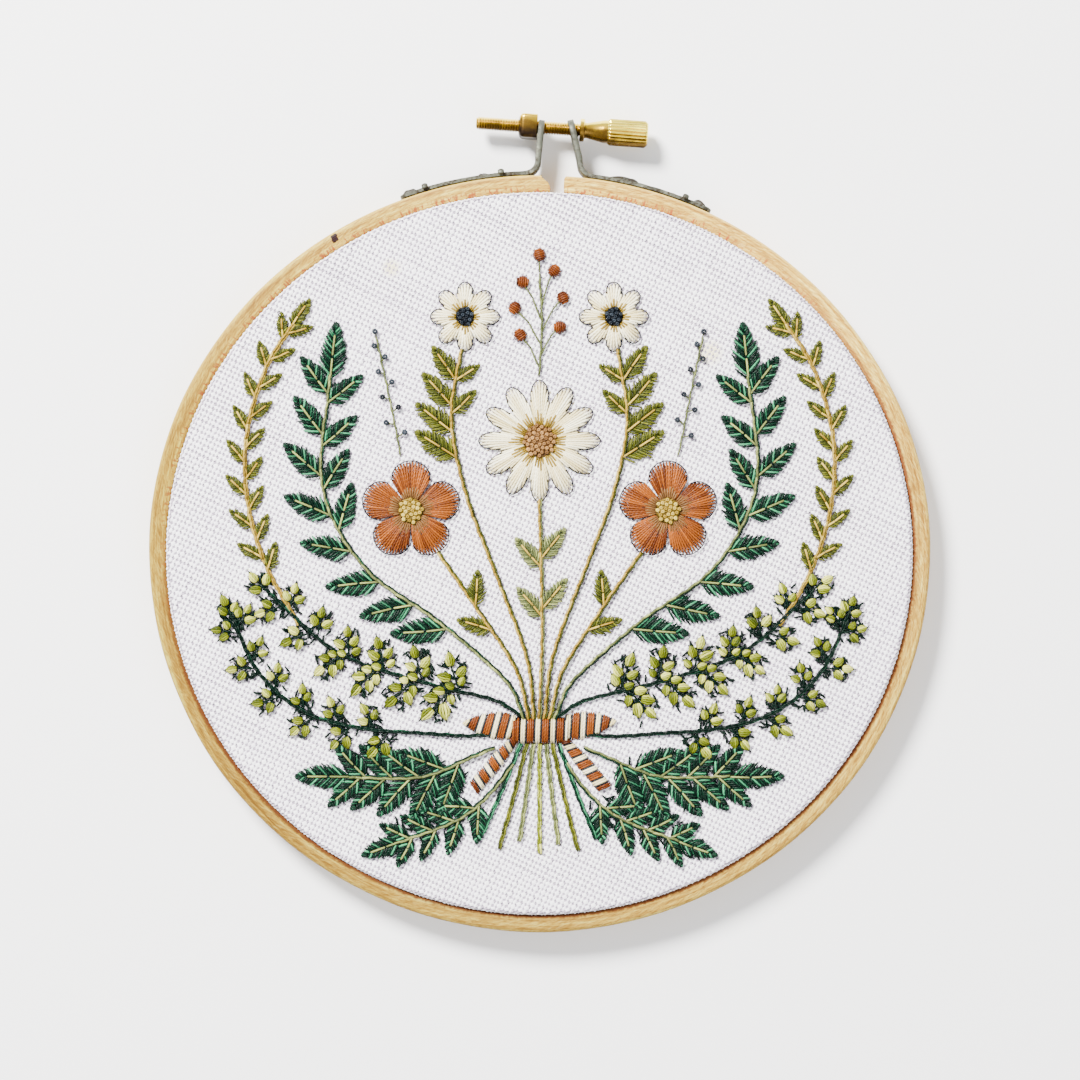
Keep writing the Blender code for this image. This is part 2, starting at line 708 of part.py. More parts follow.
def embroidery():
    for name, rule in SPRIGS.items():
        sprig(name + "_left", rule, 1)
        sprig(name + "_right", rule, -1)
    sprig("middle_stem", MIDDLE_STEM, 1)
    berry_sprig()
    for name, (spot, radius, petals, notch, colour, eye_r, eye_colour, eye_height) in HEADS.items():
        flower_head(name, spot, radius, petals, notch, colour)
        eye(name + "_eye", spot, eye_r, eye_height, eye_colour)
    bow()
    for k, (x, end_x, end_y) in enumerate(STEM_ENDS):
        bend = ((x + end_x) / 2 * 0.96, (STEM_END_TOP + end_y) / 2)
        stem(f"stem_end_{k + 1}", ((x, STEM_END_TOP), bend, (end_x, end_y)), floss(SAGE))


def hoop_middle():
    """The empty's place: the middle of the whole part's box lies over the origin."""
    nut_middle = screw_place(NUT_FROM + NUT_LENGTH / 2).translation
    tilt = math.atan2(SCREW_START.y - SCREW_END.y, SCREW_END.x - SCREW_START.x)
    top = nut_middle.y + NUT_SIDE / 2 * math.cos(tilt) + (NUT_LENGTH / 2 - NUT_ROUND) * math.sin(tilt)
    return Vector((0, -(top - OUTER_R * OVAL) / 2, 0))


def build_part():
    outer_ring()
    inner_ring()
    cloth()
    for side, (top, lean, foot_x) in TABS.items():
        bracket(side, foot_x, top, lean)
    for side, places in STAPLE_X.items():
        for k, x in enumerate(places):
            staple(f"staple_{side}_{k + 1}", x)
    nut()
    thumbscrew()
    embroidery()


clear_scene()
PARTS = bpy.data.collections.new("hoop_embroidery")
CUTTERS = bpy.data.collections.new("hoop_embroidery_cutters")
bpy.context.scene.collection.children.link(PARTS)
bpy.context.scene.collection.children.link(CUTTERS)
HOOP = bpy.data.objects.new("hoop_origin", None)
PARTS.objects.link(HOOP)
HOOP.location = hoop_middle()
build_part()
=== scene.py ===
"""The looks of a hoop embroidery: woven cloth, stitches thread by thread, turned wood and metal parts."""

import math
from functools import cache

import bpy
import numpy as np
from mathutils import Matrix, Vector


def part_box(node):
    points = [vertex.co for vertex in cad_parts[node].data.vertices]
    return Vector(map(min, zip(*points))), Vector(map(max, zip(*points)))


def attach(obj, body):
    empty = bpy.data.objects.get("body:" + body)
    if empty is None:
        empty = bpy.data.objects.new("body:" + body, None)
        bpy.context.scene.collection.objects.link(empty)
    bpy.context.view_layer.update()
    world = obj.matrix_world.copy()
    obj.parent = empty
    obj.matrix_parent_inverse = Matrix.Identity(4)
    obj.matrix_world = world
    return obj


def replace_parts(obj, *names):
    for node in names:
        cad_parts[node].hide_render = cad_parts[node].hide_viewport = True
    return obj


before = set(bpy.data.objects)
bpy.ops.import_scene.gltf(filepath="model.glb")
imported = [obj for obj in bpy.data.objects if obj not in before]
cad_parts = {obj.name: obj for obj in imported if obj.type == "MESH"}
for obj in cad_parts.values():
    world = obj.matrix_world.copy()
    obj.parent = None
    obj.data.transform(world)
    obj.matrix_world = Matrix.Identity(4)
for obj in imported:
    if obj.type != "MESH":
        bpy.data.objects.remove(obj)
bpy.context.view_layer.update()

MM = 0.001
random = np.random.default_rng(26)

# Sizes from the frame, in millimetres round the middle of the hoop
RING_LOW, RING_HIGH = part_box("outer_ring")
HOOP_Y = (RING_LOW.y + RING_HIGH.y) / 2
OUTER_R = RING_HIGH.x / MM
OVAL = (RING_HIGH.y - HOOP_Y) / RING_HIGH.x
RING_TOP = RING_HIGH.z / MM
CLOTH_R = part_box("cloth")[1].x / MM
CLOTH_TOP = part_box("cloth")[1].z / MM
CLOTH_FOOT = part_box("cloth")[0].z / MM
INNER_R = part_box("inner_ring")[1].x / MM
RING_WIDTH = 3.5
INNER_WIDTH = 4.0
SLOT_X = (2.1, 4.9)
SLOT_CHAMFERS = (1.9, 1.0)
RIM_R = 0.6  # how roundly the cloth turns over the inner ring


def to_frame(points):
    """Millimetres round the middle of the hoop, as metres in the row frame."""
    return np.asarray(points, float) * MM + (0, HOOP_Y, 0)


# Materials


class Wire:
    """An output of a shader node. Arithmetic on it adds the nodes that do it."""

    def __init__(self, socket):
        self.socket = socket

    def math(self, operation, other=0.0):
        return node(self, "Math", {0: self, 1: other}, operation=operation)

    def __add__(self, other):
        return self.math("ADD", other)

    def __sub__(self, other):
        return self.math("SUBTRACT", other)

    def __mul__(self, other):
        return self.math("MULTIPLY", other)

    def __truediv__(self, other):
        return self.math("DIVIDE", other)


def feed(socket, value):
    """Links a wire to an input, or sets the input's own value."""
    if isinstance(value, Wire):
        socket.id_data.links.new(value.socket, socket)
    else:
        socket.default_value = value


def node(source, kind, inputs=None, output=0, **fields):
    """One output of a new shader node, in the tree of a source wire or in the tree given."""
    tree = source.socket.id_data if isinstance(source, Wire) else source
    made = tree.nodes.new("ShaderNode" + kind)
    for key, value in fields.items():
        setattr(made, key, value)
    for key, value in (inputs or {}).items():
        feed(made.inputs[key], value)
    return Wire(made.outputs[output])


def new_material(name, roughness, specular=0.5, metallic=0.0):
    """A Principled material with its node tree and the inputs of its shader."""
    made = bpy.data.materials.new(name)
    made.use_nodes = True
    sockets = made.node_tree.nodes["Principled BSDF"].inputs
    sockets["Roughness"].default_value = roughness
    sockets["Specular IOR Level"].default_value = specular
    sockets["Metallic"].default_value = metallic
    return made, made.node_tree, sockets


def colour(value):
    """A screen colour (0 to 255) or a grey (0 to 1) as a linear colour. Wires and linear colours are kept."""
    if isinstance(value, Wire) or (not np.isscalar(value) and len(value) == 4):
        return value
    if np.isscalar(value):
        return (value, value, value, 1.0)
    parts = [c / 255 for c in value]
    return (*[c / 12.92 if c <= 0.04045 else ((c + 0.055) / 1.055) ** 2.4 for c in parts], 1.0)


def attribute(tree, name, output="Fac"):
    return node(tree, "Attribute", output=output, attribute_name=name, attribute_type="GEOMETRY")


def object_place(tree):
    return node(tree, "TexCoord", output="Object")


def apart(vector):
    """The three numbers of a vector."""
    first = node(vector, "SeparateXYZ", {0: vector})
    return [Wire(socket) for socket in first.socket.node.outputs]


def noise(place, scale, detail=3.0, rough=0.5):
    """Smooth noise at a place, a vector or three numbers."""
    if isinstance(place, tuple):
        place = node(place[0], "CombineXYZ", dict(enumerate(place)))
    return node(place, "TexNoise", {"Vector": place, "Scale": scale, "Detail": detail, "Roughness": rough})


def ramp(factor, *stops):
    """Colours or greys between the stops, each a place and a value."""
    made = node(factor, "ValToRGB", {"Fac": factor})
    band = made.socket.node.color_ramp.elements
    while len(band) < len(stops):
        band.new(0.5)
    for element, (place, value) in zip(band, stops):
        element.position = place
        element.color = colour(value)
    return made


def mixed(share, a, b, blend="MIX"):
    """Colour a, with a share of colour b over it."""
    made = node(a, "Mix", data_type="RGBA", blend_type=blend, clamp_factor=True).socket.node
    shown = [socket for socket in made.inputs if socket.enabled]
    for socket, value in zip(shown, (share, a, colour(b))):
        feed(socket, value)
    return Wire([socket for socket in made.outputs if socket.enabled][0])


def bump(sockets, height, distance, strength=1.0):
    inputs = {"Height": height, "Distance": distance, "Strength": strength}
    feed(sockets["Normal"], node(height, "Bump", inputs))


def smooth_step(value, low, high, start=0.0, end=1.0):
    """From start to end as the value goes from low to high."""
    ends = {"Value": value, "From Min": low, "From Max": high, "To Min": start, "To Max": end}
    return node(value, "MapRange", ends, interpolation_type="SMOOTHSTEP")


def spot_mask(place, middle, inner, outer):
    """1 within inner millimetres of a place, 0 beyond outer ones."""
    away = node(place, "VectorMath", {0: place, 1: to_frame(middle)}, "Value", operation="DISTANCE")
    return smooth_step(away, inner * MM, outer * MM, 1.0, 0.0)


# Floss: dark, middle and light shade
FLOSS = {
    "emerald": ((1, 12, 8), (4, 32, 20), (62, 146, 100)),
    "olive": ((27, 31, 6), (59, 64, 15), (118, 119, 32)),
    "lime": ((46, 56, 8), (106, 114, 14), (208, 208, 104)),
    "sage": ((40, 49, 28), (86, 93, 52), (166, 172, 100)),
    "gold": ((76, 60, 20), (138, 111, 32), (204, 180, 88)),
    "cream": ((120, 106, 68), (216, 199, 142), (252, 246, 214)),
    "terracotta": ((40, 17, 6), (80, 35, 9), (146, 78, 25)),
    "navy": ((4, 7, 12), (12, 17, 24), (44, 52, 60)),
    "tan": ((66, 43, 22), (112, 78, 42), (178, 134, 80)),
}
TWIST = 0.8  # millimetres for one turn of a thread's two plies


@cache
def floss(name):
    """Silky stranded cotton: each stitch has its own shade, plies that wind round it and fine fibres."""
    made, tree, sockets = new_material(f"floss_{name}_strands", roughness=0.34, specular=0.12)
    along, across, own = apart(attribute(tree, "thread", "Vector"))
    plies = ((along / TWIST + across * 0.45 + own) * (2 * math.pi)).math("SINE")
    fibres = noise((along * 0.5, across * 3.0 + along, own * 40.0), 1.6, 4.0, 0.65)
    shade = attribute(tree, "tone") + (fibres - 0.5) * 0.6 + plies * 0.06
    feed(sockets["Base Color"], ramp(shade, *zip((0.0, 0.5, 1.0), FLOSS[name])))
    bump(sockets, plies * 0.5 + fibres * 1.4, 0.00006, 0.8)
    return made


STAINS = ((-29.5, 56.8, 2.6), (34.0, 40.0, 3.4))  # faint yellow marks on the cloth: x, y, radius


def linen_thread():
    """White cotton thread of the weave: a slightly different white for each thread, with slubs."""
    made, tree, sockets = new_material("linen_thread", roughness=0.85, specular=0.15)
    along, around, own = apart(attribute(tree, "thread", "Vector"))
    fibres = noise((along * 1.2, around * 6.0, own * 50.0), 1.5, 3.0, 0.6)
    shade = attribute(tree, "tone") + (fibres - 0.5) * 0.5
    white = ramp(shade, (0.0, (218, 210, 224)), (0.5, (246, 243, 249)), (1.0, (255, 255, 255)))
    for x, y, radius in STAINS:
        stain = spot_mask(object_place(tree), (x, y, CLOTH_TOP), radius * 0.2, radius)
        white = mixed(stain * 0.65, white, (232, 216, 150))
    feed(sockets["Base Color"], white)
    bump(sockets, fibres, 0.00005, 0.7)
    return made


def linen_ground():
    """Painted shade on the front, standing for what shows through the holes of the weave, and the white of the
    cloth's rim, skirt and back.
    """
    made, tree, sockets = new_material("linen_ground", roughness=0.95, specular=0.1)
    turn = (0, 0, math.radians(WEAVE_TURN))
    x, y, z = apart(node(tree, "Mapping", {"Vector": object_place(tree), "Rotation": turn}))
    warp = (x * (2 * math.pi / (WARP_PITCH * MM))).math("SINE")
    weft = (y * (2 * math.pi / (WEFT_PITCH * MM))).math("SINE")
    shade = warp * weft * 0.4 + 0.5
    # painted shade: the grey-lavender that the holes of the weave show
    painted_hole_shade = ramp(shade, (0.0, (142, 128, 146)), (1.0, (194, 182, 196)))
    white = ramp(shade, (0.0, (200, 193, 204)), (1.0, (250, 247, 251)))
    middle = CLOTH_TOP - WEAVE_MIDDLE
    front = smooth_step(z, (middle - 0.1) * MM, (middle - 0.03) * MM)
    feed(sockets["Base Color"], mixed(front, white, painted_hole_shade))
    bump(sockets, warp * weft, 0.0002)
    return made


KNOT = (-40.9, 62.8)  # the dark mark in the wood
# Painted light and shade round the ring, partly the wood's own tone: share of the way round from the slot,
# shade and its blue
ROUND_LIGHT_AND_TONE = (
    (0.0, 0.84, 0.76), (0.09, 0.66, 0.66), (0.21, 0.50, 0.46), (0.37, 0.49, 0.58), (0.50, 0.55, 0.68),
    (0.65, 0.75, 0.72), (0.78, 0.84, 0.78), (0.88, 1.0, 0.88), (1.0, 0.90, 0.80),
)


def beech(name, pale=0.0, edge_shade_and_marks=1.0):
    """Bare turned beech: long fibres along the ring, growth bands, short flecks and slanted ones.

    Where edge shade is asked for, the inner edge has a brown band, a painted shadow of the cloth's rim with
    some burnish, but for the top of the ring, where it only has small marks. A painted highlight runs along
    the outer edge, with painted light and shade round the ring.
    """
    made, tree, sockets = new_material(name, roughness=0.5, specular=0.1)
    arc, radius, level = apart(attribute(tree, "grain", "Vector"))
    fine = noise((arc * 0.26, radius * 3.2, level * 3.2), 1.0, 6.0, 0.62)
    bands = noise((arc * 0.02 + level * 0.35, radius * 0.8, 3.0), 1.3)
    flecks = noise((arc * 1.1, radius * 5.5, level * 5.5), 1.0, 2.0)
    specks = noise((arc * 0.5, (arc * 0.33 + radius) * 3.2, level * 3.2), 1.0, 3.0, 0.65)
    ticks = noise((arc * 1.7, radius * 0.5, 7.0), 1.0, 2.0, 0.6)
    outer = radius - (OUTER_R - RING_WIDTH)
    part = arc / OUTER_R
    # painted shadow of the cloth's rim on the inner edge, with some burnish: everywhere but the top of the
    # ring
    rim_shadow_and_burnish = smooth_step(part, 1.25, 2.1) * smooth_step(part, 5.1, 5.8, 1.0, 0.0)
    inner_edge = smooth_step(ticks * 0.8 + outer, 0.7, 1.35, 1.0, 0.0)
    on_top = smooth_step(level, RING_TOP - 1.2, RING_TOP - 0.4)
    nicks = smooth_step(ticks, 0.50, 0.64) * smooth_step(outer, 0.6, 1.6, 1.0, 0.0)
    # painted highlight along the rounded outer edge
    painted_edge_highlight = ramp(outer / RING_WIDTH, (0.80, 0.0), (0.93, 1.0))
    wood = ramp(fine * 1.05 + bands * 0.95 + (pale - 0.49), (0.2, (134, 94, 42)), (0.42, (178, 137, 60)),
                (0.6, (209, 172, 82)), (0.85, (242, 224, 140)))
    for share, over in (
        (ramp(flecks, (0.32, 0.6), (0.42, 0.0)), (112, 70, 30)),
        (smooth_step(specks, 0.36, 0.50, 0.42, 0.0), (128, 78, 32)),
        (smooth_step(specks, 0.54, 0.68, 0.0, 0.3), (252, 226, 150)),
        (inner_edge * on_top * rim_shadow_and_burnish * (0.9 * edge_shade_and_marks), (104, 46, 28)),
        (nicks * (rim_shadow_and_burnish * -1.0 + 0.9) * edge_shade_and_marks, (150, 70, 38)),
        (painted_edge_highlight * (rim_shadow_and_burnish * -0.4 + 0.45), (240, 208, 128)),
        (smooth_step(level, RING_TOP - 1.4, RING_TOP - 0.5, 0.3, 0.0), (206, 166, 122)),
    ):
        wood = mixed(share, wood, over)
    # painted light and shade round the ring, partly the wood's own tone
    round_light_and_tone = ramp(part / (2 * math.pi), *[(place, (v, v, v * blue, 1)) for place, v, blue in ROUND_LIGHT_AND_TONE])
    wood = mixed(1.0, wood, round_light_and_tone, "MULTIPLY")
    place = object_place(tree)
    stray = noise(place, 1100.0) * (2 * MM) - MM
    ragged = node(place, "VectorMath", {0: place, 1: node(stray, "CombineXYZ", {0: stray, 1: stray})})
    feed(sockets["Base Color"], mixed(spot_mask(ragged, (*KNOT, RING_TOP), 0.75, 1.0), wood, (26, 1, 2)))
    bump(sockets, fine * 0.7 + flecks, 0.00008, 0.6)
    return made


def brass():
    """Bright turned brass, painted browner and darker on its lower side: painted shade and dark reflection,
    with a brown film.
    """
    made, tree, sockets = new_material("brass_worn", roughness=0.26, metallic=0.86)
    place = object_place(tree)
    shade = attribute(tree, "tone") + (noise(place, 420.0, 4.0, 0.6) - 0.5) * 0.7
    feed(sockets["Base Color"], ramp(shade, (0.0, (255, 234, 92)), (0.35, (208, 171, 34)),
                                     (0.62, (110, 82, 22)), (1.0, (34, 22, 10))))
    feed(sockets["Roughness"], smooth_step(shade, 0.0, 1.0, 0.18, 0.3))
    bump(sockets, noise(place, 2600.0, 3.0, 0.6), 0.00002, 0.4)
    return made


def steel():
    """Dull plated steel, greyish green, with brown specks on its edges and lumps."""
    made, tree, sockets = new_material("steel_aged", roughness=0.5, metallic=0.7)
    place = object_place(tree)
    cloud = noise(place, 260.0, 5.0, 0.6)
    specks = noise(place, 1500.0, 3.0, 0.7)
    grey = ramp(cloud, (0.3, (62, 63, 54)), (0.6, (92, 94, 82)), (0.8, (134, 136, 120)))
    rusty = attribute(tree, "tone") * 0.5 + specks
    feed(sockets["Base Color"], mixed(ramp(rusty, (0.56, 0.0), (0.72, 0.85)), grey, (46, 32, 20)))
    feed(sockets["Roughness"], ramp(rusty, (0.3, 0.42), (0.7, 0.8)))
    bump(sockets, cloud + specks, 0.0001, 0.6)
    return made


# Meshes


def grid_faces(rows, columns, wrap=False, closed=False):
    """Quads of a grid of points. Wrap closes each row on itself, closed the last row on the first."""
    row, column = np.meshgrid(np.arange(rows if closed else rows - 1),
                              np.arange(columns if wrap else columns - 1), indexing="ij")
    below, after = (row + 1) % rows, (column + 1) % columns
    quads = np.stack([row * columns + column, row * columns + after,
                      below * columns + after, below * columns + column], axis=-1)
    return quads.reshape(-1, 4)


def tube_faces(rows, columns):
    """Faces of a closed tube of points, row by row: its wall and a cap at each end."""
    walls = grid_faces(rows, columns, wrap=True).tolist()
    return walls + [list(range(columns))[::-1], list(range((rows - 1) * columns, rows * columns))]


def flipped(faces):
    return [face[::-1] for face in faces]


def solid(grid):
    """Points and faces of the closed tube through a grid of points, turned so that its outside is out."""
    points, faces = grid.reshape(-1, 3), tube_faces(*grid.shape[:2])
    volume = 0.0
    for face in faces:
        corners = points[face]
        volume += sum(float(corners[0] @ np.cross(b, c)) for b, c in zip(corners[1:-1], corners[2:]))
    return points, faces if volume > 0 else flipped(faces)


def new_object(name, data):
    """Puts a mesh, a light or a camera into the scene."""
    made = bpy.data.objects.new(name, data)
    bpy.context.scene.collection.objects.link(made)
    return made


def new_mesh(name, points, faces):
    """A mesh from millimetre points."""
    mesh = bpy.data.meshes.new(name)
    mesh.from_pydata(to_frame(points).tolist(), [], [list(map(int, face)) for face in faces])
    return mesh


def store(mesh, attributes):
    """Keeps one value or vector a point under each name."""
    for key, values in attributes.items():
        values = np.asarray(values, np.float32)
        kind, field = ("FLOAT_VECTOR", "vector") if values.ndim == 2 else ("FLOAT", "value")
        mesh.attributes.new(key, kind, "POINT").data.foreach_set(field, values.ravel())


def make_piece(name, points, faces, finish, slot, body="hoop", **attributes):
    """A smooth piece from millimetre points, riding on a body."""
    mesh = new_mesh(name, points, faces)
    mesh.materials.append(finish)
    store(mesh, attributes)
    mesh.shade_smooth()
    made = new_object(name, mesh)
    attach(made, body)
    return made


def sharpen(piece, degrees):
    """Smooth shading, but for edges that turn more than an angle."""
    piece.data.shade_smooth()
    piece.data.set_sharp_from_angle(angle=math.radians(degrees))


def cut(piece, grid):
    """Cuts a piece with the closed tube through a grid of points."""
    cutter = new_object("cutter", new_mesh("cutter", *solid(grid)))
    step = piece.modifiers.new("cut", "BOOLEAN")
    step.object = cutter
    step.operation = "DIFFERENCE"
    step.solver = "EXACT"
    bpy.context.view_layer.update()
    mesh = bpy.data.meshes.new_from_object(piece.evaluated_get(bpy.context.evaluated_depsgraph_get()))
    piece.modifiers.remove(step)
    piece.data = mesh
    bpy.data.objects.remove(cutter)


def full_turn(count):
    """Angles round a circle."""
    return np.linspace(0, 2 * math.pi, count, endpoint=False)


def circle(angle):
    return np.stack([np.cos(angle), np.sin(angle)], axis=-1)


def even_shares(count):
    """The middles of so many even parts, from -1 to 1."""
    return (2 * np.arange(count) + 1) / count - 1


def slow_noise(count, spacing, size):
    """Smooth random values along a line."""
    steps = random.normal(0, size, count // spacing + 4)
    return np.interp(np.arange(count) / spacing, np.arange(len(steps)), steps)


# Cloth

WARP_PITCH, WARP_WIDTH = 0.84, 0.60
WEFT_PITCH, WEFT_WIDTH = 1.04, 0.93
WEAVE_TURN = 26.0  # degrees by which the weft's rows fall to the right
THREAD_RISE = 0.17  # how far a thread goes up and down as it passes over and under
WEAVE_MIDDLE = 0.42  # the weave's middle lies this far under the cloth's top
BODY_THICK = 0.16
LEAST_THREAD = 4  # a thread that crosses fewer others is left out
EDGE_DROP = 0.13  # how far a thread's edges lie under its path
FLAT_R = CLOTH_R - RIM_R
RIM_LENGTH = RIM_R * math.pi / 2
SKIRT = CLOTH_TOP - WEAVE_MIDDLE - RIM_R - CLOTH_FOOT
TUCK = 3.2  # how far the threads go down the skirt


def over_rim(flat, height):
    """Lays points of the flat cloth, and their height in it, over the front, the rim and the skirt."""
    x, y = flat[..., 0], flat[..., 1] / OVAL
    reach = np.maximum(np.hypot(x, y), 1e-6)
    past = np.maximum(reach - FLAT_R, 0)
    turn = np.minimum(past / RIM_R, math.pi / 2)
    down = np.maximum(past - RIM_LENGTH, 0)
    radius = np.minimum(reach, FLAT_R) + (RIM_R + height) * np.sin(turn)
    level = CLOTH_TOP - WEAVE_MIDDLE - RIM_R + (RIM_R + height) * np.cos(turn) - down
    return np.stack([x / reach * radius, y / reach * radius * OVAL, level], axis=-1)


def weave(name, pitch, other_pitch, width, angle, phase, tone_and_highlight):
    """All threads of one direction, each a strip that goes over and under the other direction's threads, with
    painted shade: lighter where a thread passes over, darker where it goes under and at its edges.
    """
    along = circle(angle)
    side = side_of(along)
    reach = FLAT_R + RIM_LENGTH + TUCK
    count = int(reach / pitch)
    step = other_pitch / 2
    points, faces, threads, tones = [], [], [], []
    first = 0
    fullness = slow_noise(2 * count + 1, 4, 0.06) + random.normal(0, 0.045, 2 * count + 1)
    for k in range(-count, count + 1):
        half = math.sqrt(max(reach**2 - (k * pitch) ** 2, 0))
        places = int(half / step)
        if places < LEAST_THREAD:
            continue
        n = np.arange(-places, places + 1)
        wave = np.cos(math.pi * (n / 2 + k + phase)) * (1 + slow_noise(len(n), 9, 0.12))
        wobble = slow_noise(len(n), 14, 0.05) + random.normal(0, 0.03)
        slub = 1 + slow_noise(len(n), 7, 0.08) + fullness[k + count]
        centre = np.outer(n * step, along) + np.outer(k * pitch + wobble, side)
        # painted shade: lighter where the thread is up, darker where it is down
        shade = tone_and_highlight + random.normal(0, 0.1) + slow_noise(len(n), 12, 0.1) + wave * 0.22
        for across, rise in ((-1, -EDGE_DROP), (0, 0.07), (1, -EDGE_DROP)):
            flat = centre + np.outer(slub * width / 2 * across, side)
            points.append(over_rim(flat, wave * THREAD_RISE + rise))
            threads.append(np.stack(np.broadcast_arrays(n * step, across * 0.25, k / 7.3), axis=1))
            # painted shade: a thread's edges darker than its crest
            tones.append(np.clip(shade - 0.12 * abs(across), 0, 1))
        faces.append(grid_faces(3, len(n))[:, ::-1] + first)
        first += 3 * len(n)
    return make_piece(name, np.concatenate(points), np.concatenate(faces), LINEN, "linen",
                      thread=np.concatenate(threads), tone=np.concatenate(tones))


def cloth_ground():
    """The cloth's body under the threads: front, rim and skirt as one thin closed sheet."""
    rim = np.linspace(0, math.pi / 2, 9)[1:] * RIM_R + FLAT_R
    skirt = np.linspace(0, SKIRT, 9)[1:] + FLAT_R + RIM_LENGTH
    reach = np.concatenate([np.linspace(0.6, FLAT_R, 6), rim, skirt])
    turn = full_turn(240)
    flat = reach[:, None, None] * circle(turn) * (1, OVAL)
    outside = over_rim(flat, np.where(reach > FLAT_R, 0.08, 0.0)[:, None])
    inside = over_rim(flat, -BODY_THICK)
    waves = np.outer(np.linspace(0, 1, len(skirt)), 0.10 * np.sin(9 * turn) + 0.08 * np.sin(23 * turn + 1))
    for layer in (outside, inside):
        layer[-len(skirt):, :, 2] += waves
    points = np.concatenate([outside, inside[::-1]])
    faces = flipped(tube_faces(len(points), len(turn)))
    return make_piece("cloth_ground", points.reshape(-1, 3), faces, linen_ground(), "linen")


def cloth():
    ground = cloth_ground()
    tilt = math.radians(-WEAVE_TURN)
    # painted highlight: the weft is painted lighter than the warp
    weft = weave("cloth_weft", WEFT_PITCH, WARP_PITCH, WEFT_WIDTH, tilt, 0, 0.70)
    warp = weave("cloth_warp", WARP_PITCH, WEFT_PITCH, WARP_WIDTH, tilt + math.pi / 2, 1, 0.48)
    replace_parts(ground, "cloth")


# Wood


def rounded_profile(inner, outer, radii, bulge=0.0, steps=5):
    """A ring's section of (radius, height), clockwise from its outer top corner, with a bulging outside."""
    found = []
    for corner, radius in enumerate(radii):
        x = outer - radius if corner < 2 else inner + radius
        z = radius if corner in (1, 2) else RING_TOP - radius
        for k in range(steps + 1):
            angle = math.pi / 2 * (1 - corner - k / steps)
            found.append((x + radius * math.cos(angle), z + radius * math.sin(angle)))
    return [(r + bulge * (1 - (2 * z / RING_TOP - 1) ** 2) * (r > (inner + outer) / 2), z) for r, z in found]


def unevenness(turn):
    """How far the ring strays outwards at an angle: nothing near the brackets, a little elsewhere."""
    from_top = np.abs((turn - math.pi / 2 + math.pi) % (2 * math.pi) - math.pi)
    share = np.clip((from_top - 0.55) / 0.5, 0, 1)
    return share * (0.10 * np.sin(3 * turn + 0.4) + 0.07 * np.sin(7 * turn) + 0.03 * np.sin(19 * turn))


def ring_piece(name, profile, finish, steps, slot=None):
    """A wooden ring from its section, with a slot cut where given and its grain running round it."""
    turn = full_turn(steps)[:, None]
    radius, level = np.array(profile).T
    radius = radius + unevenness(turn)
    level = level * (1 + 0.006 * np.sin(5 * turn))
    points = np.stack([radius * np.cos(turn), radius * np.sin(turn) * OVAL, level], -1).reshape(-1, 3)
    faces = grid_faces(steps, len(profile), wrap=True, closed=True)
    made = make_piece(name, points, faces, finish, "beech")
    if slot is not None:
        cut(made, slot)
    found = np.empty(len(made.data.vertices) * 3, np.float32)
    made.data.vertices.foreach_get("co", found)
    x, y, z = ((found.reshape(-1, 3) - (0, HOOP_Y, 0)) / MM / (1, OVAL, 1)).T
    angle = (np.arctan2(y, x) - math.atan2(OUTER_R, sum(SLOT_X) / 2)) % (2 * math.pi)
    store(made.data, {"grain": np.stack([angle * OUTER_R, np.hypot(x, y), z], axis=1)})
    sharpen(made, 40)
    return made


def slot_points():
    """The slot as a prism: chamfered at its left mouth, rounded at its right one."""
    left, right = SLOT_X
    chamfer, softer = SLOT_CHAMFERS
    brim = OUTER_R * OVAL
    low, beyond = brim - 2 * RING_WIDTH, brim + RING_WIDTH
    rounded = [(right + softer * (1 - math.cos(a)), brim - 0.15 - softer * (1 - math.sin(a)))
               for a in np.linspace(0, math.pi / 2, 9)]
    outline = [(left, low), (right, low), (right, brim - 1.5 * softer), *rounded,
               (right + softer, beyond), (left - chamfer, beyond), (left - chamfer, brim + 0.1),
               (left - chamfer * 0.85, brim - chamfer * 0.3), (left - chamfer * 0.2, brim - chamfer * 0.85),
               (left, brim - chamfer * 1.3)]
    return np.array([[(x, y, z) for x, y in outline] for z in (-RING_TOP, 2 * RING_TOP)])


def rings():
    pressed = OUTER_R - RING_WIDTH - 0.2  # the ring presses into the cloth's threads
    profile = rounded_profile(pressed, OUTER_R - 0.1, (0.95, 0.8, 0.4, 0.4), 0.12)
    outer = ring_piece("outer_ring_wood", profile, beech("beech_outer"), 432, slot_points())
    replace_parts(outer, "outer_ring")
    profile = rounded_profile(INNER_R - INNER_WIDTH, INNER_R, (0.9, 0.7, 0.7, 0.9))
    inner = ring_piece("inner_ring_wood", profile, beech("beech_inside", -0.06, 0.0), 288)
    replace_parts(inner, "inner_ring")


# Metal

MID_HEIGHT = RING_TOP / 2
STRIP_WIDTH, STRIP_THICK = 5.6, 0.9
GAP = 0.3
BEND_R = 2.8
# Each bracket: x and y of the middle of its tab's top, the tab's lean in degrees, x of its foot's end
TABS = {"left": (0.55, 87.0, -5.6, -27.6), "right": (6.15, 86.9, 12.3, 34.0)}
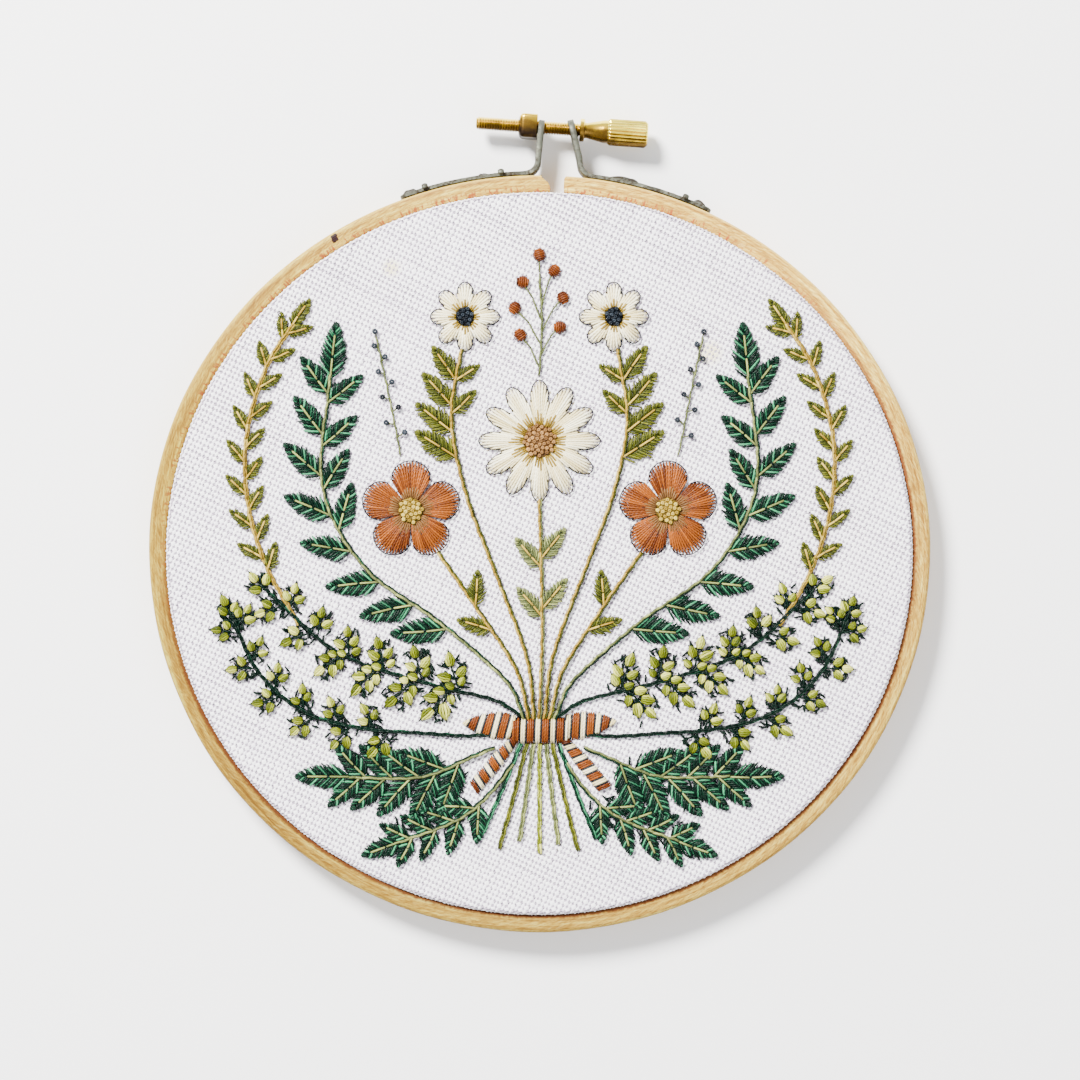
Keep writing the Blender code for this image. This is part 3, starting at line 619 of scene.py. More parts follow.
# Lumps on the feet: x, length along the foot and height
LUMPS = {"left": ((-25.9, 2.8, 0.8), (-11.2, 2.6, 0.5)), "right": ((16.9, 6.2, 0.9), (31.9, 2.4, 0.8))}
STRIP_MARKS = np.array((-1, -0.94, -0.8, -0.6, -0.4, -0.2, 0, 0.2, 0.4, 0.6, 0.8, 0.94, 1))  # across it
TOP_ROUND, FOOT_ROUND = 2.8, 1.6  # how far the rounding of its ends reaches
TAB_LENGTH = 8.0  # from a strip's top to where it begins to turn into its foot
FOOT_SHIFT = 0.2  # how much nearer the wood the feet are
STAPLE_X = {"left": (-22.6, -7.6), "right": (28.8,)}
STAPLE_R, STAPLE_WIDE = 0.38, 1.7  # its wire is this many times as wide as it is thick
STAPLE_SPAN = 7.0
# A staple's leg: how far it has come down from the crown, and its share of half the span
LEG = ((1.0, 1.0), (0.45, 1.0), (0.2, 0.985), (0.06, 0.93), (0.0, 0.84), (0.0, 0.6))
SCREW_START = np.array((-12.7, 86.35))
SCREW_END = np.array((21.7, 83.95))
SCREW_LENGTH = float(np.linalg.norm(SCREW_END - SCREW_START))
SHANK_R, HOLE_R, BORE_R = 1.35, 1.7, 1.5
NUT_FROM, NUT_LENGTH, NUT_SIDE, NUT_CORNER = 8.6, 3.7, 4.8, 0.75
COLLAR_FROM, COLLAR_R = 20.85, 2.3
HEAD_FROM, HEAD_R = 26.3, 2.7
RIDGES, RIDGE_DEPTH = 22, 0.3
THREAD_PITCH, THREAD_DEPTH = 0.52, 0.24


def unit(vector):
    return vector / np.linalg.norm(vector)


SCREW_WAY = unit(SCREW_END - SCREW_START)


def side_of(way):
    """A direction turned a quarter to the left."""
    return np.array((-way[1], way[0]))


def beside(place, way, along, left):
    """A place so far along a direction, and to its left."""
    return place + way * along + side_of(way) * left


def turned(way, angle):
    """A direction turned by an angle in radians."""
    cos, sin = math.cos(angle), math.sin(angle)
    return np.array((way[0] * cos - way[1] * sin, way[0] * sin + way[1] * cos))


def rim_point(x, out):
    """A point at x on the upper half of the outer ring's outer face, moved out along its normal."""
    a, b = OUTER_R, OUTER_R * OVAL
    y = b * math.sqrt(1 - (x / a) ** 2)
    return np.array((x, y)) + unit(np.array((x / a**2, y / b**2))) * out


def fillet(before, corner, after, radius, steps=12):
    """Points on an arc that rounds the corner between two straight runs."""
    into, out = unit(before - corner), unit(after - corner)
    half = math.acos(float(into @ out)) / 2
    centre = corner + unit(into + out) * (radius / math.sin(half))
    first = corner + into * (radius / math.tan(half)) - centre
    last = corner + out * (radius / math.tan(half)) - centre
    turn = math.atan2(first[0] * last[1] - first[1] * last[0], float(first @ last))
    return [centre + turned(first, turn * k / steps) for k in range(steps + 1)]


def resampled(path, step):
    """A path with points at even distances."""
    path = np.asarray(path, float)
    marks = np.concatenate([[0], np.cumsum(np.linalg.norm(np.diff(path, axis=0), axis=1))])
    places = np.linspace(0, marks[-1], int(marks[-1] / step) + 1)
    return np.stack([np.interp(places, marks, column) for column in path.T], axis=1)


def strip(name, path, across, sections, tone):
    """A steel bar along a path. Each section has rows of (out, across) offsets."""
    across = np.asarray(across, float)
    run = np.gradient(path, axis=0)
    run /= np.linalg.norm(run, axis=1)[:, None]
    sections = np.broadcast_to(sections, (len(path), *np.shape(sections)[-2:]))
    grid = path[:, None] + np.cross(across, run)[:, None] * sections[..., :1] + across * sections[..., 1:]
    return make_piece(name, *solid(grid), STEEL, "steel", tone=tone.ravel())


def bracket_path(side):
    """The middle line of a bracket: along the ring, round the bend and up the tab."""
    x, y, lean, foot_x = TABS[side]
    out = GAP + STRIP_THICK / 2
    corner = rim_point(x + (y - OUTER_R * OVAL) * math.tan(math.radians(lean)), out)
    way = math.copysign(1, corner[0] - foot_x)
    bend_from = corner[0] - way * BEND_R * 1.6
    foot = [rim_point(foot_x + (bend_from - foot_x) * k / 40, out) for k in range(41)]
    top = np.array((x, y))
    return resampled(foot + fillet(foot[-1], corner, top, BEND_R) + [top], 0.25)


def end_share(away, radius, least):
    """The share of a strip's width that is left near its rounded end."""
    return np.sqrt(np.clip(1 - (1 - np.minimum(away / radius, 1)) ** 2, least, 1))


def bracket(side):
    """A bent strip, worn thin at its edges, with lumps on its foot and a hole for the screw."""
    path = bracket_path(side)
    count, marks = len(path), STRIP_MARKS
    to_top = np.linalg.norm(path - path[-1], axis=1)
    to_foot = np.linalg.norm(path - path[0], axis=1)
    width = STRIP_WIDTH / 2 * end_share(to_top, TOP_ROUND, 0.01) * end_share(to_foot, FOOT_ROUND, 0.04)
    width = (width * (1 + slow_noise(count, 10, 0.012)))[:, None]
    thick = (STRIP_THICK / 2 * (0.88 + 0.44 * np.clip((12.5 - to_top) / 4, 0, 1)))[:, None]
    on_foot = np.clip((to_top - TAB_LENGTH) / 2, 0, 1)[:, None]
    lump = np.zeros((count, len(marks)))
    for x, length, height in LUMPS[side]:
        away = np.abs(path[:, 0] - x)[:, None] / (length / 2)
        lump += np.clip(1 - away**2 - (marks * 1.5) ** 2, 0, 1) ** 0.5 * height * (on_foot > 0.5)
    rough = np.stack([slow_noise(count, 3, 0.035) for _ in marks], axis=1)
    rough *= np.clip(lump * 4 + on_foot * 0.7, 0.12, 2.2)
    edge = thick * np.interp(np.abs(marks), (0.94, 1.0), (1.0, 0.72))
    out, back = (lump + rough, 0) if side == "left" else (0, (lump + rough)[:, ::-1])
    front = np.stack([edge + out, width * marks], axis=-1)
    sections = np.concatenate([front, np.stack([-edge - back, width * marks[::-1]], axis=-1)], axis=1)
    sections[..., 0] -= on_foot * (FOOT_SHIFT if side == "left" else -FOOT_SHIFT)
    tone = np.clip(lump * 0.5 + np.abs(rough) * 2 + on_foot * 0.16, 0, 0.6)
    tone = np.concatenate([tone, tone[:, ::-1]], axis=1)
    path = np.column_stack([path, np.full(count, MID_HEIGHT)])
    made = strip(f"bracket_{side}_strip", path, (0, 0, 1), sections, tone)
    cut(made, bar_points(HOLE_R, -1, SCREW_LENGTH + 1))
    sharpen(made, 50)
    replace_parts(made, "bracket_" + side)


def staple(name, x):
    """A wire over the foot of a bracket, bent down into the wood at both ends."""
    crown, foot = rim_point(x, GAP + STRIP_THICK + STAPLE_R * 0.3), rim_point(x, GAP + STAPLE_R)
    along = (*unit(rim_point(x + 1, 0) - rim_point(x - 1, 0)), 0)
    legs = [[(*(crown + (foot - crown) * drop), MID_HEIGHT + half * out) for drop, out in LEG]
            for half in (-STAPLE_SPAN / 2, STAPLE_SPAN / 2)]
    path = resampled(legs[0] + legs[1][::-1], 0.2)
    section = circle(full_turn(12)) * (STAPLE_R, STAPLE_R * STAPLE_WIDE)
    tone = np.repeat(np.clip(0.15 + slow_noise(len(path), 3, 0.15), 0, 0.6), len(section))
    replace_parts(strip(name + "_wire", path, along, section, tone), name)


def screw_points(radius, along, angle):
    """Points round the screw's axis."""
    radius, along, angle = np.broadcast_arrays(radius, along, angle)
    offsets = radius[..., None] * circle(angle)
    flat = SCREW_START + along[..., None] * SCREW_WAY + offsets[..., :1] * side_of(SCREW_WAY)
    return np.concatenate([flat, MID_HEIGHT + offsets[..., 1:]], axis=-1)


def bar_points(radius, start, end):
    """A round bar on the screw's axis."""
    return screw_points(radius, np.array((start, end))[:, None], full_turn(32))


def shade_and_film_of(points, extra=0.0, most=0.7):
    """How brown and dark the brass is painted: painted shade and dark reflection, most on its lower side, with
    a brown film.
    """
    # painted shade: darker the lower a point lies across the screw
    return np.clip(0.44 - (points[:, :2] - SCREW_START) @ side_of(SCREW_WAY) * 0.36 + extra, 0, most)


def nut():
    """A square brass block, rounded at its free end, bored for the screw."""
    quarter = np.arange(4).repeat(11)
    corners = circle(math.pi / 2 * (quarter + np.tile(np.linspace(0, 1, 11), 4)))
    signs = np.array(((1, 1), (-1, 1), (-1, -1), (1, -1)))[quarter]
    ends = np.array(((0, 0.8), (0.06, 0.35), (0.16, 0.08), (0.28, 0.0), (0.97, 0.0), (1, 0.12)))
    half = (NUT_SIDE / 2 - ends[:, 1] - NUT_CORNER)[:, None, None]
    u, v = np.moveaxis(signs * half + corners * NUT_CORNER, -1, 0)
    along = (NUT_FROM + NUT_LENGTH * ends[:, 0])[:, None]
    points, faces = solid(screw_points(np.hypot(u, v), along, np.arctan2(v, u)))
    made = make_piece("nut_block", points, faces, BRASS, "brass", tone=shade_and_film_of(points, 0.62, 1.0))
    cut(made, bar_points(BORE_R, 0, SCREW_LENGTH))
    sharpen(made, 35)
    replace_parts(made, "nut")


def shank():
    """Radius, place along, angle and painted shade and film of the threaded shank."""
    angle = full_turn(32)
    along = np.arange(0, COLLAR_FROM + 0.3, THREAD_PITCH / 6)[:, None]
    wave = np.abs(((along / THREAD_PITCH - angle / (2 * math.pi)) % 1) * 2 - 1)
    entry = np.clip((along + 0.05) / 0.5, 0.0, 1)
    radius = (SHANK_R - THREAD_DEPTH + THREAD_DEPTH * np.clip(wave * 1.5 - 0.2, 0, 1)) * (0.74 + 0.26 * entry)
    return radius, along, angle, 0.1 + 0.3 * (0.5 - wave)


def collar():
    """The same of the collar and the cone between it and the head."""
    rows = np.array((
        (COLLAR_FROM, 1.0), (COLLAR_FROM, COLLAR_R - 0.15), (COLLAR_FROM + 0.12, COLLAR_R),
        (COLLAR_FROM + 0.75, COLLAR_R), (COLLAR_FROM + 0.9, COLLAR_R - 0.14), (COLLAR_FROM + 0.98, 1.62),
        (COLLAR_FROM + 1.3, 1.5), (HEAD_FROM - 0.9, 2.24), (HEAD_FROM - 0.3, 2.3), (HEAD_FROM + 0.4, 2.3),
        (HEAD_FROM + 0.4, 1.0)))
    return rows[:, 1:], rows[:, :1], full_turn(48), 0.22


def knurl():
    """The same of the knurled head."""
    angle = full_turn(RIDGES * 8)
    wave = (np.cos(angle * RIDGES) * 0.5 + 0.5) ** 0.6
    ends = ((0.0, 0.62, 0.0), (0.12, 0.4, 0.3), (0.5, 0.05, 1.0), (0.7, 0.0, 1.0))
    levels = [(HEAD_FROM + at, drop, ridge) for at, drop, ridge in ends]
    levels += [(SCREW_LENGTH - at, drop, ridge) for at, drop, ridge in reversed(ends)]
    levels += [(SCREW_LENGTH, 1.5, 0.0), (SCREW_LENGTH - 0.12, 1.9, 0.0)]
    along, drop, ridge = np.array(levels).T[..., None]
    # painted highlight: the head is painted lighter overall, darker between its ridges
    return HEAD_R - drop - RIDGE_DEPTH * ridge * (1 - wave), along, angle, 0.6 * (1 - wave) * ridge - 0.66


def thumbscrew():
    """Threaded shank, collar, cone and knurled head, turned from one bar."""
    points, faces, shades_and_films = np.empty((0, 3)), [], []
    for radius, along, angle, shade_and_film in (shank(), collar(), knurl()):
        grid = screw_points(radius, along, angle)
        own, own_faces = solid(grid)
        faces += [[corner + len(points) for corner in face] for face in own_faces]
        shades_and_films.append(shade_and_film_of(own, np.broadcast_to(shade_and_film, grid.shape[:2]).ravel()))
        points = np.concatenate([points, own])
    made = make_piece("thumbscrew_turned", points, faces, BRASS, "brass", body="thumbscrew",
                      tone=np.concatenate(shades_and_films))
    sharpen(made, 38)
    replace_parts(made, "thumbscrew")


def hardware():
    for side in TABS:
        bracket(side)
        for place, x in enumerate(STAPLE_X[side], 1):
            staple(f"staple_{side}_{place}", x)
    nut()
    thumbscrew()


# Stitches

SPREAD = 1.12  # the design's places are drawn for a smaller hoop and spread by this
THREAD = 0.52  # width of a two-strand stitch
OUTLINE = 0.26  # width of a single dark strand
FLATNESS = 0.8  # a stitch's height over its width
SINK = 0.3  # how far the ends of a stitch go into the cloth
PAINTED_CREST_SHADE = 0.26  # painted shade: how much lighter a thread's crest is painted than its flanks
CLOTH_BACK = CLOTH_TOP - 0.62  # where the threads on the back lie
BACK_SHARE = 0.3  # the share of the stitches that also show on the back
REVERSE = {}  # rows of stitches for the back of the cloth, by floss


def jitter(size):
    return random.normal(0, size)


def stitch(start, end, width, lift, shade, bow=0.0, last=None):
    """A row for sew: a stitch between two places, with its bow to the left and its shade at both ends."""
    return (*start, *end, width, lift, shade, bow, shade if last is None else last)


def floss_piece(name, grids, faces, finish, thread, tone, node):
    """A piece from the grids of points of its threads, that all have the same faces."""
    size = grids[0, ..., 0].size
    faces = [[corner + k * size for corner in face] for k in range(len(grids)) for face in faces]
    piece = make_piece(name, grids.reshape(-1, 3), faces, floss(finish), "floss_" + finish,
                       thread=thread.reshape(-1, 3), tone=tone.ravel())
    if node:
        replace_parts(piece, node)


def sew(name, rows, finish, steps=4, sides=5, behind=False, node=None):
    """Rows of stitches as arched threads, in front of the cloth or behind it, in place of a solid if named."""
    rows = np.array(rows, float)
    if not behind:
        REVERSE.setdefault(finish, []).append(rows[random.random(len(rows)) < BACK_SHARE])
    start, end = rows[:, None, 0:2], rows[:, None, 2:4]
    width, lift, shade, bow, last = (rows[:, k, None] for k in range(4, 9))
    t = (1 - np.cos(np.linspace(0, math.pi, steps + 1))) / 2
    rise = np.sqrt(1 - (2 * t - 1) ** 4)
    length = np.maximum(np.linalg.norm(end - start, axis=2), 0.01)
    way = (end - start) / length[..., None]
    side = np.stack([-way[..., 1], way[..., 0]], axis=-1)
    line = start + (end - start) * t[:, None] + side * (bow * 4 * t * (1 - t))[..., None]
    half = (width / 2 * (0.5 + 0.5 * rise))[..., None]
    level = CLOTH_TOP - SINK + rise * (SINK + lift + width * FLATNESS / 2)
    if behind:
        level = CLOTH_BACK + SINK - rise * (SINK + width * FLATNESS / 2)
    turn = full_turn(sides) + math.pi / 2
    flat = line[:, :, None] + side[:, :, None] * (half * np.cos(turn))[..., None]
    height = level[..., None] + half * FLATNESS * np.sin(turn)
    points = np.concatenate([flat, height[..., None]], axis=-1)
    own = random.random(len(rows))[:, None, None]
    thread = np.stack(np.broadcast_arrays((length * t)[..., None], np.cos(turn), own), axis=-1)
    # painted shade: each thread's crest lighter and its flanks darker
    tone = (shade + (last - shade) * t)[..., None] + PAINTED_CREST_SHADE * (np.sin(turn) - 0.6)
    floss_piece(name, points, tube_faces(steps + 1, sides), finish, thread, tone, node)


def reverse_side():
    """Short crossings of every floss on the back of the cloth, between the ends of its stitches."""
    for finish, groups in REVERSE.items():
        rows = np.concatenate(groups)
        swing = random.normal(0, 0.5, (len(rows), 2))
        shade, none = np.clip(rows[:, 6], 0.2, 0.8), np.zeros(len(rows))
        back = np.column_stack([rows[:, 0:2], rows[:, 2:4] + swing, none + 0.42, none, shade, none, shade])
        sew("back_of_floss_" + finish, back, finish, steps=3, sides=3, behind=True)


def spot(x, y):
    """A place of the design, in millimetres from the middle of the hoop."""
    return np.array((x, y), float) * SPREAD


def smooth_route(points):
    """A Catmull-Rom curve through the design's points, in even steps."""
    rows = [spot(*p) for p in points]
    rows = [rows[0] * 2 - rows[1], *rows, rows[-1] * 2 - rows[-2]]
    found = []
    for a, b, c, d in zip(rows, rows[1:], rows[2:], rows[3:]):
        for t in np.arange(0, 1, 0.05):
            bend = (2 * a - 5 * b + 4 * c - d) * t**2 + (3 * b - a - 3 * c + d) * t**3
            found.append((2 * b + (c - a) * t + bend) / 2)
    return resampled([*found, rows[-2]], 0.4)


def at_share(path, share):
    """The point and direction at a share of an even path's length."""
    place = share * (len(path) - 1)
    k = min(int(place), len(path) - 2)
    step = path[k + 1] - path[k]
    return path[k] + step * (place - k), unit(step)


ROPE_PITCH, ROPE_REACH, ROPE_SWING = 1.5, 2.8, 0.12


def rope(path, width=THREAD, shade=0.5, offset=0.0, lift=0.05, low=0.0):
    """Stem stitch: short stitches along a path, each beside the one before, flat for a low first part."""
    length = (len(path) - 1) * np.linalg.norm(path[1] - path[0])
    rows = []
    for k, from_start in enumerate(np.arange(0, max(length - ROPE_REACH * 0.6, 0.1), ROPE_PITCH)):
        a, way_a = at_share(path, from_start / length)
        b, way_b = at_share(path, min((from_start + ROPE_REACH) / length, 1))
        lean = ROPE_SWING * (1 if k % 2 else -1)
        raised = lift if from_start >= low else 0.0
        rows.append(stitch(beside(a, way_a, 0, offset - lean), beside(b, way_b, 0, offset + lean), width,
                           raised + jitter(0.015), shade + jitter(0.12), jitter(0.03)))
    return rows


def back_stitch(points):
    """Short stitches from point to point."""
    return [stitch(a, b + (b - a) * 0.12, OUTLINE, 0.1 + jitter(0.02), 0.3 + jitter(0.12))
            for a, b in zip(points, points[1:])]


def leaf_width(share):
    """Half width of a leaf over its widest, along its length."""
    return math.sin(math.pi * min(max(share, 0), 1) ** 0.72) ** 0.65


LEAF_TOP = 0.93  # the last slanted threads start at this share of a leaf


def needles(foot, way, length, width, style):
    """A feathered leaf: slanted threads from the middle vein to both edges, over a dark layer."""
    tones, thread = style["tones"], style["thread"]
    rows = []
    for q in (-1, -0.5, 0, 0.5, 1):
        a = beside(foot, way, length * 0.10, q * width * 0.10)
        b = beside(foot, way, length * (0.90 - 0.12 * abs(q)), q * width * 0.12)
        rows.append(stitch(a, b, 0.55, 0.02, style["under"], q * width * 0.22))
    count = max(int(length * LEAF_TOP / style["gap"]), 4)
    for sign in (1, -1):
        for k in range(count):
            low = high = (k + 0.5 + jitter(0.1)) / count * LEAF_TOP
            for _ in range(3):
                high = low + leaf_width(high) * width / 2 / math.tan(math.radians(style["slant"])) / length
            high = min(high, 0.995)
            out = sign * leaf_width(high) * width / 2 * (1 + jitter(style["ragged"]))
            tone = tones[(k + (sign > 0)) % len(tones)] + jitter(0.1)
            rows.append(stitch(foot + way * length * low, beside(foot, way, length * high, out), thread,
                               0.18 + jitter(0.03), tone, sign * 0.08, tone + style["tip"]))
    tip = foot + way * length
    for lean in (-0.1, 0.0, 0.1):
        end = beside(tip, way, -abs(lean) * 2, lean * width * 0.8)
        rows.append(stitch(tip - way * length * 0.16, end, thread, 0.2, tones[0] + jitter(0.1), 0,
                           tones[0] + style["tip"]))
    return rows


# Two kinds of feathered leaf: gap between its threads, their width, slant in degrees, raggedness and shades
FERN = dict(gap=0.56, thread=0.46, slant=44, ragged=0.08, under=0.06, tip=0.0,
            tones=(0.36, 0.12, 0.84, 0.22, 0.44, 0.08, 0.30, 0.66, 0.16))
FEATHER = dict(gap=0.47, thread=0.38, slant=50, ragged=0.12, under=0.10, tip=0.3,
               tones=(0.36, 0.20, 0.52, 0.28))
VEIN = (0.46, 0.36)  # width and lift
VEIN_SHADE = 0.62


def vein(foot, way, length):
    """Long straight stitches along the middle of a leaf."""
    half = beside(foot, way, length * 0.46, jitter(0.1))
    end = foot + way * length * 0.88
    return [stitch(foot, half, *VEIN, VEIN_SHADE + jitter(0.1), 0, VEIN_SHADE + jitter(0.15)),
            stitch(half - way * 0.5, end, *VEIN, VEIN_SHADE + jitter(0.1))]


def bud(foot, way, length, width):
    """A small satin leaf of a few threads, and the dark threads round it."""
    shade = random.choice((0.26, 0.40, 0.56, 0.74)) + jitter(0.05)
    rows, dark = [], []
    for q in (-0.8, -0.28, 0.28, 0.8):
        a = beside(foot, way, length * 0.06 * (1 + q * q), q * 0.16 * width)
        b = beside(foot, way, length * (1.06 - 0.20 * q * q), q * 0.10 * width)
        # painted sheen: the left half of a bud lighter than its right one
        tone = shade + (0.16 if q > 0 else -0.14) + jitter(0.08)
        rows.append(stitch(a, b, 0.54, 0.26 + 0.12 * (1 - q * q), tone, q * 0.32 * width, tone - 0.08))
    tip = foot + way * (length * 1.06 + 0.4)
    for sign in (1, -1):
        middle = beside(foot, way, length * 0.5, sign * (width / 2 + 0.05))
        for a, b in ((foot, middle), (middle, tip)):
            dark.append(stitch(a - way * 0.2, b, 0.34, 0.12, 0.2 + jitter(0.1), sign * -0.12 * length))
    return rows, dark


BIG_CLUSTER = 6.4  # a longer cluster has five buds, another three
# The buds of a cluster: share of its length, side, turn and size
BUD_PLACES = (
    (0.60, 0, 0, 1), (0.34, 1, 0.8, 1), (0.34, -1, -0.8, 1), (0.10, 1, 0.95, 0.8), (0.10, -1, -0.95, 0.8),
)


def bud_cluster(foot, way, length, buds, dark):
    """Three or five buds on a short stalk, over a patch of dark seed stitches."""
    big = length > BIG_CLUSTER
    dark.append(stitch(foot, foot + way * length * 0.7, 0.4, 0.08, 0.2))
    for at, sign, turn, size in BUD_PLACES[:5 if big else 3]:
        own_foot = beside(foot, way, length * at, sign * 0.35)
        size *= length * (0.42 if big else 0.46) * (1 + jitter(0.06))
        rows, edges = bud(own_foot, turned(way, turn + jitter(0.12)), size, size * 0.66)
        buds += rows
        dark += edges
    for _ in range(int(length * 5)):
        place = beside(foot, way, length * random.uniform(0.0, 0.85), length * random.uniform(-0.36, 0.36))
        aim = turned(way, random.uniform(-1.3, 1.3)) * 0.8
        dark.append(stitch(place - aim, place + aim, 0.46, 0.0, 0.08 + jitter(0.08)))


def longer(path, before, after):
    """A path made longer at its ends, so that they run under what is sewn over them."""
    first, last = unit(path[1] - path[0]), unit(path[-1] - path[-2])
    step = np.linalg.norm(path[1] - path[0])
    lead = [path[0] - first * step * k for k in range(int(before / step), 0, -1)]
    tail = [path[-1] + last * step * k for k in range(1, int(after / step) + 1)]
    return np.array([*lead, *path, *tail])


TIE_TOP = -28.3  # where the stems come out of the band
# Floss of a sprig's leaves, stem and veins
EMERALD = ("emerald", "emerald", "sage")
OLIVE = ("olive", "olive", "gold")
GOLD = ("olive", "gold", "gold")
SAGE = ("sage", "sage", "gold")
LIME = ("lime", "emerald", "emerald")
# Sprigs: the stem's route on the left side; rows of leaves, each with its side of the stem, first and last
# share of the route, number, first and last length; width over length; angle; length of the leaf at the tip,
# or 0; how much of the stem lies low; how far it runs on under the bow; dark ground stitches under a leaf
LOWER_SPRIGS = {  # only in the looks, between the others
    "bud_branch": dict(
        route=((-4, -31.6), (-12.5, -32.4), (-21, -31.9), (-32, -31), (-42, -28), (-50, -21), (-54.5, -11.5)),
        rows=(("out", 0.38, 0.95, 6, 6.2, 5.4), ("in", 0.42, 0.97, 6, 5.6, 5.2)),
        angle=56, tip=5.6, low=12.0, floss=LIME),
    "gold_branch": dict(
        route=((-42.5, -13.0), (-48.4, -2.5), (-51.8, 9), (-52.0, 21), (-48.5, 33), (-43.5, 41)),
        rows=(("out", 0.24, 0.94, 8, 5.6, 5.2), ("in", 0.20, 0.96, 9, 5.6, 5.2)),
        slim=0.42, angle=40, tip=6.4, low=14.0, floss=GOLD),
    "deep_fern": dict(
        route=((-4.6, -37.0), (-8.6, -42.4), (-14.5, -47.2), (-25.0, -51.2)),
        rows=(("out", 0.38, 0.90, 4, 7.6, 6.4), ("in", 0.42, 0.92, 4, 7.6, 6.4)),
        slim=0.44, angle=44, tip=8.0, ground=6, floss=EMERALD),
}
SPRIGS = {  # as in the solids
    "tall_spray": dict(
        route=((-3.15, -28.3), (-6, -22.5), (-18, -12), (-31, -2.5), (-38.5, 12), (-37, 32)),
        rows=(("out", 0.27, 0.95, 8, 11.0, 9.0), ("in", 0.62, 0.93, 4, 9.5, 8.5)),
        slim=0.42, angle=44, tip=11.0, floss=EMERALD),
    "flower_stem": dict(
        route=((-2.1, -28.3), (-4.2, -20.5), (-11.5, -9.2), (-17.7, -0.3)),
        rows=(("in", 0.66, 0.66, 1, 7.0, 7.0), ("out", 0.50, 0.50, 1, 7.0, 7.0)),
        slim=0.44, angle=38, tip=0, floss=OLIVE),
    "daisy_spray": dict(
        route=((-1.05, -28.3), (-2.4, -18), (-8.4, -2), (-13.2, 11), (-15.6, 24), (-14.0, 35.3)),
        rows=(("out", 0.72, 0.93, 4, 9.5, 8.0), ("in", 0.84, 0.93, 2, 6.5, 5.5)),
        slim=0.44, angle=46, tip=0, floss=OLIVE),
    "round_spray": dict(
        route=((-4.2, -28.3), (-8, -26.0), (-21, -22.8), (-36, -17.5), (-48, -7)),
        rows=(("out", 0.25, 0.93, 6, 8.0, 5.8), ("in", 0.22, 0.90, 6, 8.0, 5.8)),
        angle=60, tip=6.2, floss=LIME),
    "low_spray": dict(
        route=((-11.8, -36.0), (-21, -39.6), (-34, -39.6)),
        rows=(("out", 0.12, 0.90, 5, 11.0, 8.5), ("in", 0.24, 0.86, 4, 10.0, 8.5)),
        slim=0.42, angle=44, tip=10.5, lead=5.0, ground=14, floss=EMERALD),
}
MIDDLE_STEM = dict(
    route=((0, -28.3), (0.5, -12), (0, 8.66)),
    rows=(("out", 0.46, 0.70, 2, 7.5, 7.5), ("in", 0.50, 0.74, 2, 7.5, 7.5)),
    slim=0.42, angle=40, tip=0, floss=SAGE)
DOT_ROUTE = ((-24.6, 17.2), (-26.6, 27.3), (-29.0, 38.6))  # a stalk of dark knots over each side flower
DOTS = 9


def leaves_of(rule, mirror):
    """The stem's path and each leaf's foot, direction and length."""
    path = smooth_route([(x * mirror, y) for x, y in rule["route"]])
    found = []
    for side, first, last, count, long, short in rule["rows"]:
        turn = (1 if side == "out" else -1) * mirror * math.radians(rule["angle"])
        for part in np.linspace(0, 1, count):
            foot, way = at_share(path, first + (last - first) * part)
            found.append((foot, turned(way, turn), long + (short - long) * part))
    if rule["tip"]:
        found.append((*at_share(path, 0.985), rule["tip"]))
    lead = 2.0 if rule["route"][0][1] == TIE_TOP else rule.get("lead", 0)
    return longer(path, lead, 0 if rule["tip"] else 1.4), found


def fern_spray(name, rule, mirror, node=None):
    """A sprig of feathered leaves with a pale vein in each, on a stem of two ropes."""
    leaf_floss, stem_floss, vein_floss = rule["floss"]
    path, leaves = leaves_of(rule, mirror)
    rows, veins, low = [], [], rule.get("low", 0)
    for foot, way, length in leaves:
        for _ in range(rule.get("ground", 0)):
            place = beside(foot, way, length * random.uniform(0, 0.62), random.uniform(-2.2, 2.2))
            aim = turned(way, random.uniform(-0.9, 0.9))
            rows.append(stitch(place - aim, place + aim, 0.48, 0.0, 0.04 + jitter(0.06)))
        style = FERN if leaf_floss == "emerald" else FEATHER
        rows += needles(foot, way, length * 1.06, length * rule["slim"] * 1.16, style)
        veins += vein(foot - way * 0.3, way, length)
    sew(name, rows, leaf_floss, node=node)
    sew(name + "_veins", veins + rope(path, 0.56, 0.5, lift=0.34, offset=0.12, low=low), vein_floss)
    sew(name + "_stem", rope(path, 0.5, 0.3, lift=0.16, offset=-0.28, low=low), stem_floss)


def bud_spray(name, rule, mirror, node=None):
    """A sprig of small buds in clusters, with dark outlines and a dark stem."""
    leaf_floss, stem_floss, _ = rule["floss"]
    path, leaves = leaves_of(rule, mirror)
    buds, dark, low = [], [], rule.get("low", 0)
    for foot, way, length in leaves:
        bud_cluster(foot, way, length, buds, dark)
    dark += rope(path, 0.56, 0.12, lift=0.16, offset=0.1, low=low)
    dark += rope(path, 0.4, 0.3, lift=0.16, offset=-0.26, low=low)
    sew(name, buds, leaf_floss, node=node)
    sew(name + "_outlines", dark, stem_floss, steps=3, sides=4)


def dot_stalk(side, mirror):
    path = smooth_route([(x * mirror, y) for x, y in DOT_ROUTE])
    rows, places = rope(path, 0.42, 0.4), []
    for k in range(DOTS):
        at, way = at_share(path, 0.16 + 0.84 * k / (DOTS - 1))
        out = (1 if k % 2 else -1) * (1.7 - 0.13 * k)
        place = at + way * 0.9 if k == DOTS - 1 else beside(at, way, 0.7, out)
        rows.append(stitch(at, place, 0.32, 0.05, 0.4))
        places.append(place)
    sew(f"dot_stalk_{side}_sewn", rows, "sage")
    knots(f"dot_stalk_{side}_knots", places, "navy", 1.25, 0.1)


